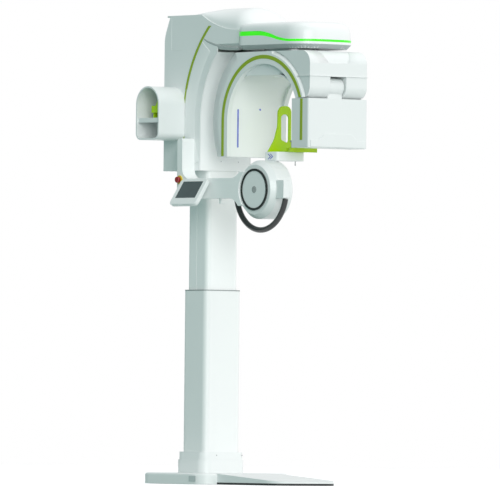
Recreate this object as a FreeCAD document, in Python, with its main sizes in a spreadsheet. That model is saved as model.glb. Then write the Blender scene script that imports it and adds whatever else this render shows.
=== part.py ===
"""Cone-beam jaw and head X-ray unit on a telescopic floor column, one solid or group per named piece.

Frame in millimetres: origin on the column axis at the floor, +X along the boom towards the
patient, -Y towards the operator (arch face and touch screen), +Z up.
"""
import FreeCAD, Part
import collections
import math
import os

import Sketcher

DOC = FreeCAD.newDocument("DentalScanner")
SHEET = DOC.addObject("Spreadsheet::Sheet", "Sizes")
NODES = []
PLANES = {"XY": ("XY_Plane", 1), "XZ": ("XZ_Plane", -1), "YZ": ("YZ_Plane", 1)}
UPRIGHT = {"z": (FreeCAD.Vector(0, 0, 1), 0), "y": (FreeCAD.Vector(1, 0, 0), -90), "x": (FreeCAD.Vector(0, 1, 0), 90)}

Corner = collections.namedtuple("Corner", "u v round bulge")
Disc = collections.namedtuple("Disc", "u v radius")


class Size:
    """A length that keeps the spreadsheet expression it comes from."""

    def __init__(self, value, text):
        self.value = float(value)
        self.text = text

    @staticmethod
    def of(number):
        """Turn a plain number into a Size and leave a Size alone."""
        return number if isinstance(number, Size) else Size(number, "(%r)" % float(number))

    def __add__(self, other):
        other = Size.of(other)
        return Size(self.value + other.value, "(%s + %s)" % (self.text, other.text))

    def __sub__(self, other):
        other = Size.of(other)
        return Size(self.value - other.value, "(%s - %s)" % (self.text, other.text))

    def __mul__(self, other):
        other = Size.of(other)
        return Size(self.value * other.value, "(%s * %s)" % (self.text, other.text))

    def __truediv__(self, other):
        other = Size.of(other)
        return Size(self.value / other.value, "(%s / %s)" % (self.text, other.text))

    def __radd__(self, other):
        return Size.of(other) + self

    def __rsub__(self, other):
        return Size.of(other) - self

    def __rmul__(self, other):
        return Size.of(other) * self

    def __neg__(self):
        return Size(-self.value, "(-1 * %s)" % self.text)

    def cosine(self):
        """Cosine of an angle in degrees."""
        return Size(math.cos(math.radians(self.value)), "cos(%s * 1 deg)" % self.text)

    def sine(self):
        """Sine of an angle in degrees."""
        return Size(math.sin(math.radians(self.value)), "sin(%s * 1 deg)" % self.text)

    def root(self):
        """Square root, for points on circles."""
        return Size(math.sqrt(self.value), "sqrt(%s)" % self.text)


def size(alias, value):
    """Write one driving dimension to the spreadsheet."""
    size.row += 1
    SHEET.set("A%d" % size.row, alias.replace("_", " "))
    SHEET.set("B%d" % size.row, "%r" % float(value))
    SHEET.setAlias("B%d" % size.row, alias)
    return Size(value, "Sizes." + alias)


size.row = 0


def at(u, v, round=0, bulge=0):
    """One corner of a loop: where it is, how it is rounded, and the arc radius of the side that leaves it."""
    return Corner(Size.of(u), Size.of(v), Size.of(round), Size.of(bulge))


def disc(u, v, radius):
    """A full circle in a sketch."""
    return Disc(Size.of(u), Size.of(v), Size.of(radius))


def box(u_low, u_high, v_low, v_high, round=0):
    """A rectangle with equal corner radii."""
    return [at(u_low, v_low, round), at(u_high, v_low, round), at(u_high, v_high, round), at(u_low, v_high, round)]


def chord_offset(radius, rise):
    """Half-chord of a circle at a height above its centre."""
    return (radius * radius - rise * rise).root()


def pin_point(sketch, geo, pos, u, v):
    """Hold one sketch point at two named coordinates."""
    for kind, length in (("DistanceX", u), ("DistanceY", v)):
        index = sketch.addConstraint(Sketcher.Constraint(kind, -1, 1, geo, pos, length.value))
        sketch.setExpression("Constraints[%d]" % index, length.text)


def set_radius(sketch, geo, radius):
    """Give an arc or a circle its named radius."""
    index = sketch.addConstraint(Sketcher.Constraint("Radius", geo, abs(radius.value)))
    sketch.setExpression("Constraints[%d]" % index, radius.text if radius.value > 0 else (-radius).text)


def arc_between(start, end, radius, left):
    """Circle arc from start to end; left says that its centre lies left of the way."""
    chord = end - start
    side = FreeCAD.Vector(-chord.y, chord.x, 0).normalize()
    rise = math.sqrt(max(radius * radius - (chord.Length / 2) ** 2, 0.0))
    centre = (start + end) * 0.5 + side * (rise if left else -rise)
    first, last = (start, end) if left else (end, start)
    begin = math.atan2(first.y - centre.y, first.x - centre.x)
    stop = math.atan2(last.y - centre.y, last.x - centre.x)
    if stop <= begin:
        stop += 2 * math.pi
    return Part.ArcOfCircle(Part.Circle(centre, FreeCAD.Vector(0, 0, 1), radius), begin, stop)


def rounding(points, index, radius):
    """Tangent points of one rounded corner and whether it turns left."""
    back = (points[index - 1] - points[index]).normalize()
    ahead = (points[(index + 1) % len(points)] - points[index]).normalize()
    reach = radius / math.tan(back.getAngle(ahead) / 2)
    return points[index] + back * reach, points[index] + ahead * reach, back.cross(ahead).z < 0


def draw_loop(sketch, corners):
    """Draw a closed loop of lines and arcs, fully held by named sizes."""
    count = len(corners)
    points = [FreeCAD.Vector(corner.u.value, corner.v.value, 0) for corner in corners]
    rounds = [rounding(points, i, c.round.value) if c.round.value else None for i, c in enumerate(corners)]
    sides = []
    for i, corner in enumerate(corners):
        after = (i + 1) % count
        start = rounds[i][1] if rounds[i] else points[i]
        end = rounds[after][0] if rounds[after] else points[after]
        if corner.bulge.value:
            left = corner.bulge.value > 0
            geo = sketch.addGeometry(arc_between(start, end, abs(corner.bulge.value), left), False)
            set_radius(sketch, geo, corner.bulge)
            sides.append((geo, 1, 2) if left else (geo, 2, 1))
        else:
            sides.append((sketch.addGeometry(Part.LineSegment(start, end), False), 1, 2))
    for i, corner in enumerate(corners):
        last_geo, _, last_end = sides[i - 1]
        next_geo, next_start, _ = sides[i]
        if not rounds[i]:
            sketch.addConstraint(Sketcher.Constraint("Coincident", last_geo, last_end, next_geo, next_start))
            pin_point(sketch, next_geo, next_start, corner.u, corner.v)
            continue
        mark = sketch.addGeometry(Part.Point(points[i]), True)
        pin_point(sketch, mark, 1, corner.u, corner.v)
        sketch.addConstraint(Sketcher.Constraint("PointOnObject", mark, 1, last_geo))
        sketch.addConstraint(Sketcher.Constraint("PointOnObject", mark, 1, next_geo))
        entry, leave, left = rounds[i]
        arc = sketch.addGeometry(arc_between(entry, leave, corner.round.value, left), False)
        entry_pos, leave_pos = (1, 2) if left else (2, 1)
        sketch.addConstraint(Sketcher.Constraint("Tangent", last_geo, last_end, arc, entry_pos))
        sketch.addConstraint(Sketcher.Constraint("Tangent", arc, leave_pos, next_geo, next_start))
        set_radius(sketch, arc, corner.round)


def draw_disc(sketch, circle):
    """Draw a circle held by its centre and radius."""
    centre = FreeCAD.Vector(circle.u.value, circle.v.value, 0)
    geo = sketch.addGeometry(Part.Circle(centre, FreeCAD.Vector(0, 0, 1), circle.radius.value), False)
    pin_point(sketch, geo, 3, circle.u, circle.v)
    set_radius(sketch, geo, circle.radius)


def flat_at(axis, *levels):
    """Pick the edges that lie in any of the given planes across an axis."""
    values = [Size.of(level).value for level in levels]

    def pick(edge):
        low = getattr(edge.BoundBox, axis.upper() + "Min")
        high = getattr(edge.BoundBox, axis.upper() + "Max")
        return high - low < 0.01 and any(abs(low - value) < 0.01 for value in values)
    return pick


def along(axis, test):
    """Pick the straight edges along an axis whose middle passes a test on (x, y, z)."""
    def pick(edge):
        extents = {"x": edge.BoundBox.XLength, "y": edge.BoundBox.YLength, "z": edge.BoundBox.ZLength}
        across = sum(length for name, length in extents.items() if name != axis)
        middle = edge.BoundBox.Center
        return across < 0.01 < extents[axis] and test(middle.x, middle.y, middle.z)
    return pick


class Piece:
    """One PartDesign body, built feature by feature."""

    def __init__(self, node, listed=True):
        self.body = DOC.addObject("PartDesign::Body", node)
        self.body.Label = node
        self.node = node
        if listed:
            NODES.append(self.body)

    def feature(self, kind, name):
        """Make one feature of this body."""
        return self.body.newObject(kind, "%s_%s" % (self.node, name))

    def sketch(self, plane, level, loops, axis=None):
        """Sketch closed loops on a plane at a level; axis is (u, v, "u" or "v") of a turning line."""
        role, sign = PLANES[plane]
        sketch = self.feature("Sketcher::SketchObject", "outline")
        base = [item for item in self.body.Origin.OriginFeatures if item.Role == role][0]
        sketch.AttachmentSupport = [(base, "")]
        sketch.MapMode = "FlatFace"
        sketch.setExpression("AttachmentOffset.Base.z", (Size.of(level) * sign).text)
        if axis:
            self.draw_axis(sketch, *axis)
        for loop in loops:
            if isinstance(loop, Disc):
                draw_disc(sketch, loop)
            else:
                draw_loop(sketch, loop)
        sketch.Visibility = False
        return sketch

    def draw_axis(self, sketch, u, v, way):
        """Draw the construction line that a turned piece turns about."""
        u, v = Size.of(u), Size.of(v)
        end_u, end_v = (u + 100, v) if way == "u" else (u, v + 100)
        line = Part.LineSegment(FreeCAD.Vector(u.value, v.value, 0), FreeCAD.Vector(end_u.value, end_v.value, 0))
        geo = sketch.addGeometry(line, True)
        pin_point(sketch, geo, 1, u, v)
        pin_point(sketch, geo, 2, end_u, end_v)

    def add(self, plane, low, high, *loops):
        """Pad closed loops between two levels of a plane."""
        pad = self.feature("PartDesign::Pad", "pad")
        pad.Profile = self.sketch(plane, low, loops)
        pad.setExpression("Length", (Size.of(high) - low).text)
        pad.Reversed = plane == "XZ"
        self.body.Tip = pad
        DOC.recompute()
        return self

    def cut(self, plane, low, high, *loops):
        """Cut closed loops away between two levels of a plane."""
        before = self.body.Shape.Volume
        pocket = self.feature("PartDesign::Pocket", "cut")
        pocket.Profile = self.sketch(plane, low, loops)
        pocket.setExpression("Length", (Size.of(high) - low).text)
        pocket.Reversed = plane != "XZ"
        self.body.Tip = pocket
        DOC.recompute()
        if self.body.Shape.Volume >= before - 0.01:
            raise RuntimeError("%s: a cut removes nothing" % self.node)
        return self

    def turn(self, plane, level, axis, *loops, sweep=360):
        """Turn closed loops about an axis line; a part turn is even about the sketch."""
        revolution = self.feature("PartDesign::Revolution", "turn")
        sketch = self.sketch(plane, level, loops, axis)
        revolution.Profile = sketch
        revolution.ReferenceAxis = (sketch, ["Axis0"])
        revolution.setExpression("Angle", Size.of(sweep).text)
        revolution.Midplane = Size.of(sweep).value < 360
        self.body.Tip = revolution
        DOC.recompute()
        return self

    def soften(self, radius, pick):
        """Round the picked edges."""
        return self.dress("PartDesign::Fillet", "Radius", radius, pick)

    def bevel(self, width, pick):
        """Bevel the picked edges."""
        return self.dress("PartDesign::Chamfer", "Size", width, pick)

    def dress(self, kind, prop, length, pick):
        """Add a fillet or a chamfer to the picked edges."""
        tip = self.body.Tip
        names = ["Edge%d" % (i + 1) for i, edge in enumerate(tip.Shape.Edges) if pick(edge)]
        if not names:
            raise RuntimeError("%s: no edge to dress" % self.node)
        dressed = self.feature(kind, "edge")
        dressed.Base = (tip, names)
        dressed.setExpression(prop, Size.of(length).text)
        tip.Visibility = False
        self.body.Tip = dressed
        DOC.recompute()
        return self

    def place(self, x, y, z, axis=None, angle=0):
        """Put the body's own origin at a point, turned about an axis."""
        if axis:
            self.body.Placement.Rotation = FreeCAD.Rotation(axis, 1.0)
            self.body.setExpression("Placement.Rotation.Angle", Size.of(angle).text)
        for name, length in (("x", x), ("y", y), ("z", z)):
            self.body.setExpression("Placement.Base." + name, Size.of(length).text)
        DOC.recompute()
        return self


def mirrored(node, source, axis, level=0, listed=True):
    """A mirror image of a piece across a plane."""
    mirror = DOC.addObject("Part::Mirroring", node)
    mirror.Label = node
    mirror.Source = source.body
    mirror.Normal = FreeCAD.Vector(*(1.0 if name == axis else 0.0 for name in "xyz"))
    mirror.setExpression("Base." + axis, Size.of(level).text)
    if listed:
        NODES.append(mirror)
    return mirror


def group(node, members):
    """Several separate solids under one node."""
    compound = DOC.addObject("Part::Compound", node)
    compound.Label = node
    compound.Links = [member.body if isinstance(member, Piece) else member for member in members]
    NODES.append(compound)
    return compound


def bind_place(item, x, y, z):
    """Bind a primitive's position."""
    for name, length in (("x", x), ("y", y), ("z", z)):
        item.setExpression("Placement.Base." + name, Size.of(length).text)


def rod(name, way, x, y, z, radius, length):
    """A cylinder from a point along an axis."""
    item = DOC.addObject("Part::Cylinder", name)
    axis, angle = UPRIGHT[way]
    item.Placement.Rotation = FreeCAD.Rotation(axis, angle)
    item.setExpression("Radius", Size.of(radius).text)
    item.setExpression("Height", Size.of(length).text)
    bind_place(item, x, y, z)
    return item


def block(name, x, y, z):
    """A box between pairs of levels."""
    item = DOC.addObject("Part::Box", name)
    for prop, (low, high) in (("Length", x), ("Width", y), ("Height", z)):
        item.setExpression(prop, (Size.of(high) - low).text)
    bind_place(item, x[0], y[0], z[0])
    return item


def hex_screw(name, way, x, y, z, radius, height, recess):
    """A round screw head with a hexagon socket at its far end."""
    head = rod(name + "_head", way, x, y, z, radius, height)
    socket = DOC.addObject("Part::Prism", name + "_socket")
    socket.Polygon = 6
    axis, angle = UPRIGHT[way]
    socket.Placement.Rotation = FreeCAD.Rotation(axis, angle)
    socket.setExpression("Circumradius", (Size.of(radius) * 0.55).text)
    socket.setExpression("Height", (Size.of(recess) + 1).text)
    shift = {"x": (height - recess, 0, 0), "y": (0, height - recess, 0), "z": (0, 0, height - recess)}[way]
    bind_place(socket, Size.of(x) + shift[0], Size.of(y) + shift[1], Size.of(z) + shift[2])
    screw = DOC.addObject("Part::Cut", name)
    screw.Base, screw.Tool = head, socket
    return screw


# Overall sizes.
axis_x = size("gantry_axis_distance", 600)
arch_z = size("arch_centre_height", 1770)
fit_gap = size("running_gap", 0.3)
pin_gap = size("pin_clearance", 0.05)

# Base.
plate_t = size("floor_plate_thickness", 10)
plate_rear = size("floor_plate_rear", 190)
plate_wide = size("floor_plate_half_width", 268)
plate_front = size("floor_plate_housing_front", 270)
tongue_reach = size("tongue_reach", 770)
tongue_half = size("tongue_half_width", 200)
tongue_round = size("tongue_corner", 100)
anchor_x = size("anchor_spacing_along", 300)
anchor_y = size("anchor_spacing_across", 440)
anchor_r = size("anchor_hole_radius", 7)
cover_wall = size("base_cover_wall", 6)
cover_rear = size("base_cover_rear", 210)
cover_front = size("base_cover_front", 300)
cover_half = size("base_cover_half_width", 290)
cover_top = size("base_cover_top", 54)
cover_round = size("base_cover_corner", 90)
cover_foot = size("base_cover_floor_gap", 1)
tongue_tip = size("tongue_cover_tip", 19)
base_edge = size("base_cover_edge", 12)

# Telescopic column.
col_x = size("lower_column_depth", 184)
col_y = size("lower_column_width", 224)
col_wall = size("lower_column_wall", 6)
col_round = size("lower_column_corner", 28)
col_top = size("lower_column_top", 945)
mast_x = size("upper_column_depth", 158)
mast_y = size("upper_column_width", 196)
mast_wall = size("upper_column_wall", 5)
mast_round = size("upper_column_corner", 25)
mast_low = size("upper_column_bottom", 610)
trim_t = size("column_trim_thickness", 5)
skirt_out = size("foot_skirt_offset", 26)
skirt_top = size("foot_skirt_top", 119)
band_out = size("foot_band_offset", 20)
band_top = size("foot_band_top", 157)
foot_wall = size("foot_trim_wall", 4)
tube_r = size("lift_tube_radius", 30)
tube_top = size("lift_tube_top", 700)
rod_r = size("lift_rod_radius", 17)
rod_low = size("lift_rod_bottom", 620)
rod_head = size("lift_rod_head_height", 1290)

# Carriage, measured from the arch centre.
cage_half = size("carriage_half_width", 160)
cage_rear = size("carriage_rear", 201)
cage_low = arch_z - size("carriage_drop", 239)
cage_top = arch_z + size("carriage_rise", 522)
cage_seam = size("carriage_rear_seam", 143)
cage_wall = size("carriage_wall", 6)
sweep_r = size("carriage_hollow_radius", 512)
cage_joint = arch_z + size("neck_start_rise", 338)
neck_low = arch_z + size("neck_bottom_rise", 352)
neck_slope_r = size("neck_slope_radius", 566)
accent_r = size("carriage_accent_radius", 643)
accent_w = size("carriage_accent_width", 14)
accent_t = size("accent_thickness", 1.5)
dome_half = size("dome_half_width", 150)
dome_top = arch_z + size("dome_rise", 555)
dome_fall = size("dome_fall_radius", 91)

# Boom cap.
cap_half = size("cap_half_width", 185)
cap_rear = axis_x - size("cap_rear_reach", 218)
cap_front = axis_x + size("cap_front_reach", 298)
cap_low = arch_z + size("cap_bottom_rise", 342)
cap_top = arch_z + size("cap_top_rise", 472)
cap_wall = size("cap_wall", 8)
cap_bevel = size("cap_lower_bevel", 20)
cap_back_round = size("cap_rear_corner", 60)
cap_front_round = size("cap_front_corner", 120)
led_high = arch_z + size("light_band_rear_rise", 419)
led_low = arch_z + size("light_band_front_rise", 380)
led_tall = size("light_band_rear_height", 22)
led_thin = size("light_band_front_height", 11)
beam_half = size("boom_beam_half_width", 60)
beam_low = arch_z + size("boom_beam_rise", 400)
beam_high = beam_low + size("boom_beam_height", 56)

# Rotating arch.
arch_half = size("arch_half_width", 185)
plate_side = size("ring_plate_thickness", 25)
arch_rear_r = size("arch_rear_radius", 406)
arch_front_r = size("arch_front_radius", 340)
ring_bevel = size("ring_plate_bevel", 14)
open_r = size("ring_opening_radius", 270)
stripe_r = size("stripe_radius", 304)
stripe_w = size("stripe_width", 18)
arch_top = arch_z + size("arch_top_rise", 330)
leg_low = arch_z - size("rear_leg_drop", 175)
skin = size("arch_skin", 4)
ceiling = arch_z + size("ceiling_rise", 216)
cave_round = size("ceiling_corner", 150)
front_in = axis_x + size("front_inner_reach", 225)
front_out = axis_x + size("front_face_reach", 352)
block_split = arch_z + size("front_split_rise", 204)
block_half = size("front_block_half_width", 178)
lug_low = arch_z + size("lug_bottom_rise", 100)
lug_round = size("lug_corner", 55)
plate_tip = lug_low + size("ring_tip_rise", 6.5)
slot_half = size("lug_slot_half_width", 50)
core_half = arch_half - plate_side

# Detector head.
hinge_x = axis_x + size("hinge_reach", 297)
hinge_z = arch_z + size("hinge_rise", 155)
hinge_r = size("hinge_pin_radius", 10)
head_top = arch_z + size("head_top_rise", 98)
head_low = arch_z - size("head_drop", 140)
head_wall = size("head_wall", 5)
tab_half = size("head_neck_half_width", 45)
tab_round = size("head_neck_radius", 44)

# Turning gear.
bearing_r = size("bearing_bore_radius", 70)
hub_r = size("hub_flange_radius", 130)
pulley_big = size("driven_pulley_radius", 125)
pulley_small = size("drive_pulley_radius", 20)
motor_reach = size("motor_distance", 200)
belt_t = size("belt_thickness", 3)

# Patient support.
arm_near = size("arm_near_face", 238)
arm_low = arch_z - size("arm_drop", 380)
arm_deep = size("arm_depth", 98)
arm_rise = arch_z - size("arm_post_drop", 83)
post_low_x = size("arm_post_rear", 10)
post_high_x = size("arm_post_front", 49)
drum_z = arch_z - size("drum_drop", 340)
drum_r = size("drum_radius", 142)
drum_far = size("drum_far_face", 102)
drum_near = size("drum_near_face", 228)
ring_r = size("drum_ring_radius", 101)
disc_r = size("drum_disc_radius", 90)
grip_r = size("grip_bend_radius", 190)
grip_t = size("grip_tube_radius", 14)
grip_y = size("grip_offset", 186)
grip_turn = size("grip_sweep", 154)
chin_half = size("chin_block_half_depth", 51)
chin_top = arch_z - size("chin_block_drop", 155)
temple_gap = size("temple_support_offset", 75)
temple_t = size("temple_support_thickness", 9)
temple_top = arch_z + size("temple_rise", 72)
stop_x = size("stop_button_distance", 32)
stop_z = arm_low + size("stop_button_rise", 94)

# Accessory pod.
pod_rear = size("pod_rear", 210)
pod_front = size("pod_front", 31)
pod_mouth = size("pod_mouth", 324)
pod_low = arch_z - size("pod_drop", 90)
pod_top = arch_z + size("pod_rise", 172)
pod_wall = size("pod_wall", 8)
pod_round = size("pod_lower_corner", 35)
shelf_z = arch_z - size("pod_shelf_drop", 5)

# Touch screen.
tab_x = size("screen_distance", 175)
tab_y = size("screen_offset", 290)
tab_z = arm_low + size("screen_rise", 29)
tab_wide = size("screen_width", 206)
tab_tall = size("screen_height", 152)
tab_t = size("screen_thickness", 21)
tab_lean = size("screen_lean", 33)
glass_wide = size("glass_width", 154)
glass_tall = size("glass_height", 97)
pivot_drop = size("screen_pivot_back", 28)
pivot_rise = size("screen_pivot_rise", 8)
boss_half = size("screen_boss_half_width", 12)

DOC.recompute()


def tongue_outline(reach, half, corner, rear):
    """Plan of the flat tongue in front of the housing."""
    return [at(rear, -half), at(reach, -half, corner), at(reach, half, corner), at(rear, half)]


def column_outline(depth, width, corner, grow=0):
    """Rounded rectangle about the column axis, grown evenly."""
    half_x = depth / 2 + grow
    half_y = width / 2 + grow
    return box(-half_x, half_x, -half_y, half_y, corner + grow)


def build_base():
    """Floor plate, covers and column foot."""
    plate = Piece("floor_plate")
    plate.add("XY", 0, plate_t, box(-plate_rear, plate_front, -plate_wide, plate_wide, cover_round - 22))
    plate.add("XY", 0, plate_t, tongue_outline(tongue_reach, tongue_half, tongue_round, plate_front - 60))
    holes = [disc(anchor_x / 2 * sx, anchor_y / 2 * sy, anchor_r) for sx in (-1, 1) for sy in (-1, 1)]
    plate.cut("XY", 0, plate_t, *holes)

    cover = Piece("base_cover")
    cover.add("XY", cover_foot, cover_top, box(-cover_rear, cover_front, -cover_half, cover_half, cover_round))
    cover.soften(base_edge, flat_at("z", cover_top))
    cover.add("XY", plate_t + fit_gap, cover_top,
              tongue_outline(tongue_reach, tongue_half, tongue_round, cover_front - 100))
    slope = [at(cover_front - 20, cover_top), at(tongue_reach, tongue_tip), at(tongue_reach + 1, tongue_tip),
             at(tongue_reach + 1, cover_top + 1), at(cover_front - 20, cover_top + 1)]
    cover.cut("XZ", -cover_half, cover_half, slope)
    cover.cut("XY", cover_foot, cover_top - cover_wall,
              box(-cover_rear + cover_wall, cover_front - cover_wall, -cover_half + cover_wall,
                  cover_half - cover_wall, cover_round - cover_wall))
    cover.cut("XY", cover_foot, plate_t + fit_gap,
              box(cover_front - cover_wall - 1, cover_front + 1, -tongue_half - 1, tongue_half + 1))
    cover.cut("XY", cover_top - cover_wall - 1, cover_top + 1, column_outline(col_x, col_y, col_round, 1))

    access = Piece("base_access_cover")
    access.add("XZ", -cover_half - 2, -cover_half, box(193, 246, 14, 41, 3))
    inlet = Piece("power_inlet")
    inlet.add("YZ", -cover_rear - 8, -cover_rear, box(70, 118, 14, 44, 4))
    inlet.cut("YZ", -cover_rear - 8, -cover_rear - 2, box(77, 111, 19, 39, 3))


def build_foot():
    """Trim rings and screws round the column's foot."""
    skirt = Piece("column_foot_skirt")
    skirt.add("XY", cover_top, skirt_top, column_outline(col_x, col_y, col_round, skirt_out))
    skirt.cut("XY", cover_top, skirt_top - foot_wall,
              column_outline(col_x, col_y, col_round, skirt_out - foot_wall))
    skirt.cut("XY", skirt_top - foot_wall - 1, skirt_top + 1, column_outline(col_x, col_y, col_round, fit_gap))
    band = Piece("column_foot_band")
    band.add("XY", skirt_top, band_top, column_outline(col_x, col_y, col_round, band_out))
    band.cut("XY", skirt_top, band_top - foot_wall,
             column_outline(col_x, col_y, col_round, band_out - foot_wall))
    band.cut("XY", band_top - foot_wall - 1, band_top + 1, column_outline(col_x, col_y, col_round, fit_gap))


def build_column():
    """Two column stages, their glides and the lift."""
    lower = Piece("lower_column")
    lower.add("XY", plate_t, col_top, column_outline(col_x, col_y, col_round))
    lower.cut("XY", plate_t, col_top, column_outline(col_x, col_y, col_round, -col_wall))
    upper = Piece("upper_column")
    upper_top = cage_top - 45
    upper.add("XY", mast_low, upper_top, column_outline(mast_x, mast_y, mast_round))
    upper.cut("XY", mast_low, upper_top - 12, column_outline(mast_x, mast_y, mast_round, -mast_wall))
    trim = Piece("column_top_trim")
    trim.add("XY", col_top, col_top + trim_t, column_outline(col_x, col_y, col_round, 1))
    trim.cut("XY", col_top, col_top + trim_t, column_outline(mast_x, mast_y, mast_round, fit_gap))

    pads = []
    inner_x = col_x / 2 - col_wall
    inner_y = col_y / 2 - col_wall
    pad_z = (col_top - 80, col_top - 15)
    for sign in (-1, 1):
        edges = sorted((inner_x * sign, (mast_x / 2 + fit_gap) * sign), key=lambda item: item.value)
        pads.append(block("pad_x", edges, (-60, 60), pad_z))
        edges = sorted((inner_y * sign, (mast_y / 2 + fit_gap) * sign), key=lambda item: item.value)
        pads.append(block("pad_y", (-45, 45), edges, pad_z))
    group("glide_pads", pads)

    tube = Piece("lift_tube")
    tube.add("XY", plate_t, plate_t + 14, disc(0, 0, tube_r * 2 - 5))
    tube.add("XY", plate_t + 14, tube_top, disc(0, 0, tube_r))
    tube.cut("XY", plate_t + 14, tube_top, disc(0, 0, rod_r + 0.5))
    ram = Piece("lift_rod")
    ram.add("XY", rod_low, rod_head, disc(0, 0, rod_r))
    ram.add("XY", rod_head, rod_head + 12,
            column_outline(mast_x, mast_y, mast_round, -mast_wall))


def cage_side_profile(rear):
    """Side outline of the carriage from a rear seam to the arch hollow."""
    hollow_x = axis_x - sweep_r
    joint_x = axis_x - chord_offset(sweep_r, cage_joint - arch_z)
    slope_end = cap_rear
    slope_z = neck_slope_base()
    joint_top = slope_z + neck_slope_r - chord_offset(neck_slope_r, slope_end - joint_x)
    slope_start = slope_end - chord_offset(neck_slope_r, slope_z + neck_slope_r - cage_top)
    return [at(rear, cage_low), at(hollow_x, cage_low), at(hollow_x, arch_z, 0, -sweep_r),
            at(joint_x, cage_joint), at(joint_x, joint_top, 0, -neck_slope_r), at(slope_start, cage_top),
            at(rear, cage_top)]


def neck_slope_base():
    """Height of the neck's top edge where it meets the cap."""
    return cage_top - 80


def build_carriage():
    """Carriage on the upper column: covers, accents and screws."""
    near = Piece("carriage_side_near")
    near.add("XZ", -cage_half, -cage_half + cage_wall, cage_side_profile(-cage_seam))
    mirrored("carriage_side_far", near, "y")
    front = Piece("carriage_front_cover")
    hollow_x = axis_x - sweep_r
    joint_x = axis_x - chord_offset(sweep_r, cage_joint - arch_z)
    inner_x = axis_x - chord_offset(sweep_r + cage_wall, cage_joint - arch_z)
    inner_half = cage_half - cage_wall
    front.add("XZ", -inner_half, inner_half,
              [at(hollow_x - cage_wall, cage_low + cage_wall), at(hollow_x, cage_low + cage_wall),
               at(hollow_x, arch_z, 0, -sweep_r), at(joint_x, cage_joint),
               at(inner_x, cage_joint, 0, sweep_r + cage_wall), at(hollow_x - cage_wall, arch_z)])
    front.add("XY", cage_low, cage_low + cage_wall, box(-cage_seam, hollow_x, -inner_half, inner_half))
    front.cut("XY", cage_low, cage_low + cage_wall, column_outline(mast_x, mast_y, mast_round, 1))

    rear = Piece("carriage_rear_cover")
    rear.add("XZ", -cage_half, cage_half,
             [at(-cage_rear, cage_low), at(-cage_seam, cage_low), at(-cage_seam, cage_top),
              at(-cage_rear + 50, cage_top), at(-cage_rear + 14, cage_top - 84), at(-cage_rear, cage_top - 141)])
    rear.cut("XZ", -inner_half, inner_half,
             [at(-cage_rear + cage_wall, cage_low + cage_wall), at(-cage_seam + 1, cage_low + cage_wall),
              at(-cage_seam + 1, cage_top - cage_wall - 14),
              at(-cage_rear + 15 + cage_wall, cage_top - 88), at(-cage_rear + cage_wall, cage_top - 142)])
    rear.soften(8, along("z", lambda x, y, z: x < -cage_rear.value + 1))

    above_pod = accent_strip("accent_above", -1, 158, 466)
    below_pod = accent_strip("accent_below", -1, -130, -91)
    far_side = accent_strip("accent_far", 1, -130, 466)
    group("carriage_accents", [above_pod, below_pod, far_side])
    places = ((-70, cage_low + 28), (60, cage_low + 28), (-70, cage_top - 30), (60, cage_top - 30))
    screws = [hex_screw("side_screw_%d" % i, "y", x, cage_half, z, 4, 1.5, 1) for i, (x, z) in enumerate(places)]
    group("carriage_cover_screws", screws)


def accent_strip(name, side, low, high):
    """Curved strip on one side of the carriage between two rises over the arch centre."""
    outer, inner = accent_r + accent_w / 2, accent_r - accent_w / 2
    strip = Piece(name, listed=False)
    faces = (-cage_half - accent_t, -cage_half) if side < 0 else (cage_half, cage_half + accent_t)
    strip.add("XZ", faces[0], faces[1],
              [at(axis_x - chord_offset(outer, Size.of(low)), arch_z + low),
               at(axis_x - chord_offset(inner, Size.of(low)), arch_z + low, 0, -inner),
               at(axis_x - chord_offset(inner, Size.of(high)), arch_z + high),
               at(axis_x - chord_offset(outer, Size.of(high)), arch_z + high, 0, outer)])
    return strip


def build_dome_and_neck():
    """Top dome, neck cover and the beam inside them."""
    slope_z = neck_slope_base()
    start = cap_rear - chord_offset(neck_slope_r, slope_z + neck_slope_r - cage_top)
    dome = Piece("top_dome")
    seat = cage_top
    fall_x = cap_rear - 52
    mid_x = fall_x + chord_offset(dome_fall, dome_fall - (dome_top - cap_top - 3) / 2)
    end_x = mid_x + (mid_x - fall_x)
    dome.add("XZ", -dome_half, dome_half,
             [at(-cage_seam + 20, seat), at(start, seat, 0, neck_slope_r), at(cap_rear, slope_z),
              at(cap_rear, cap_top), at(end_x, cap_top), at(end_x, cap_top + 3, 0, -dome_fall),
              at(mid_x, (dome_top + cap_top + 3) / 2, 0, dome_fall), at(fall_x, dome_top),
              at(-cage_seam + 50, dome_top, 30), at(-cage_seam + 20, dome_top - 22, 8)])
    inner_half = dome_half - cage_wall
    dome.cut("XZ", -inner_half, inner_half,
             [at(-cage_seam + 34, seat - 1), at(cap_rear - cage_wall, seat - 100), at(cap_rear - cage_wall, cap_top),
              at(fall_x, dome_top - cage_wall), at(-cage_seam + 54, dome_top - cage_wall),
              at(-cage_seam + 34, dome_top - 26)])

    dome.cut("YZ", cap_rear - cage_wall - 1, cap_rear + 1,
             box(-beam_half - 1, beam_half + 1, beam_low, beam_high + 1))

    neck = Piece("neck_cover")
    joint_x = axis_x - chord_offset(sweep_r, cage_joint - arch_z)
    joint_top = slope_z + neck_slope_r - chord_offset(neck_slope_r, cap_rear - joint_x)
    neck.add("XZ", -cage_half, cage_half,
             [at(joint_x, neck_low), at(cap_rear, neck_low), at(cap_rear, slope_z, 0, -neck_slope_r),
              at(joint_x, joint_top)])
    neck.bevel(24, along("x", lambda x, y, z: z < neck_low.value + 1))
    neck.cut("XZ", -cage_half + cage_wall, cage_half - cage_wall,
             [at(joint_x - 1, neck_low + 30), at(cap_rear + 1, neck_low + 30), at(cap_rear + 1, slope_z + 20),
              at(cap_rear, slope_z + 60), at(joint_x - 1, joint_top + 60)])

    beam = Piece("boom_beam")
    beam.add("YZ", mast_x / 2, cap_front - 60, box(-beam_half, beam_half, beam_low, beam_high, 4))
    beam.cut("YZ", mast_x / 2, cap_front - 60, box(-beam_half + 6, beam_half - 6, beam_low + 6, beam_high - 6))


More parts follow.
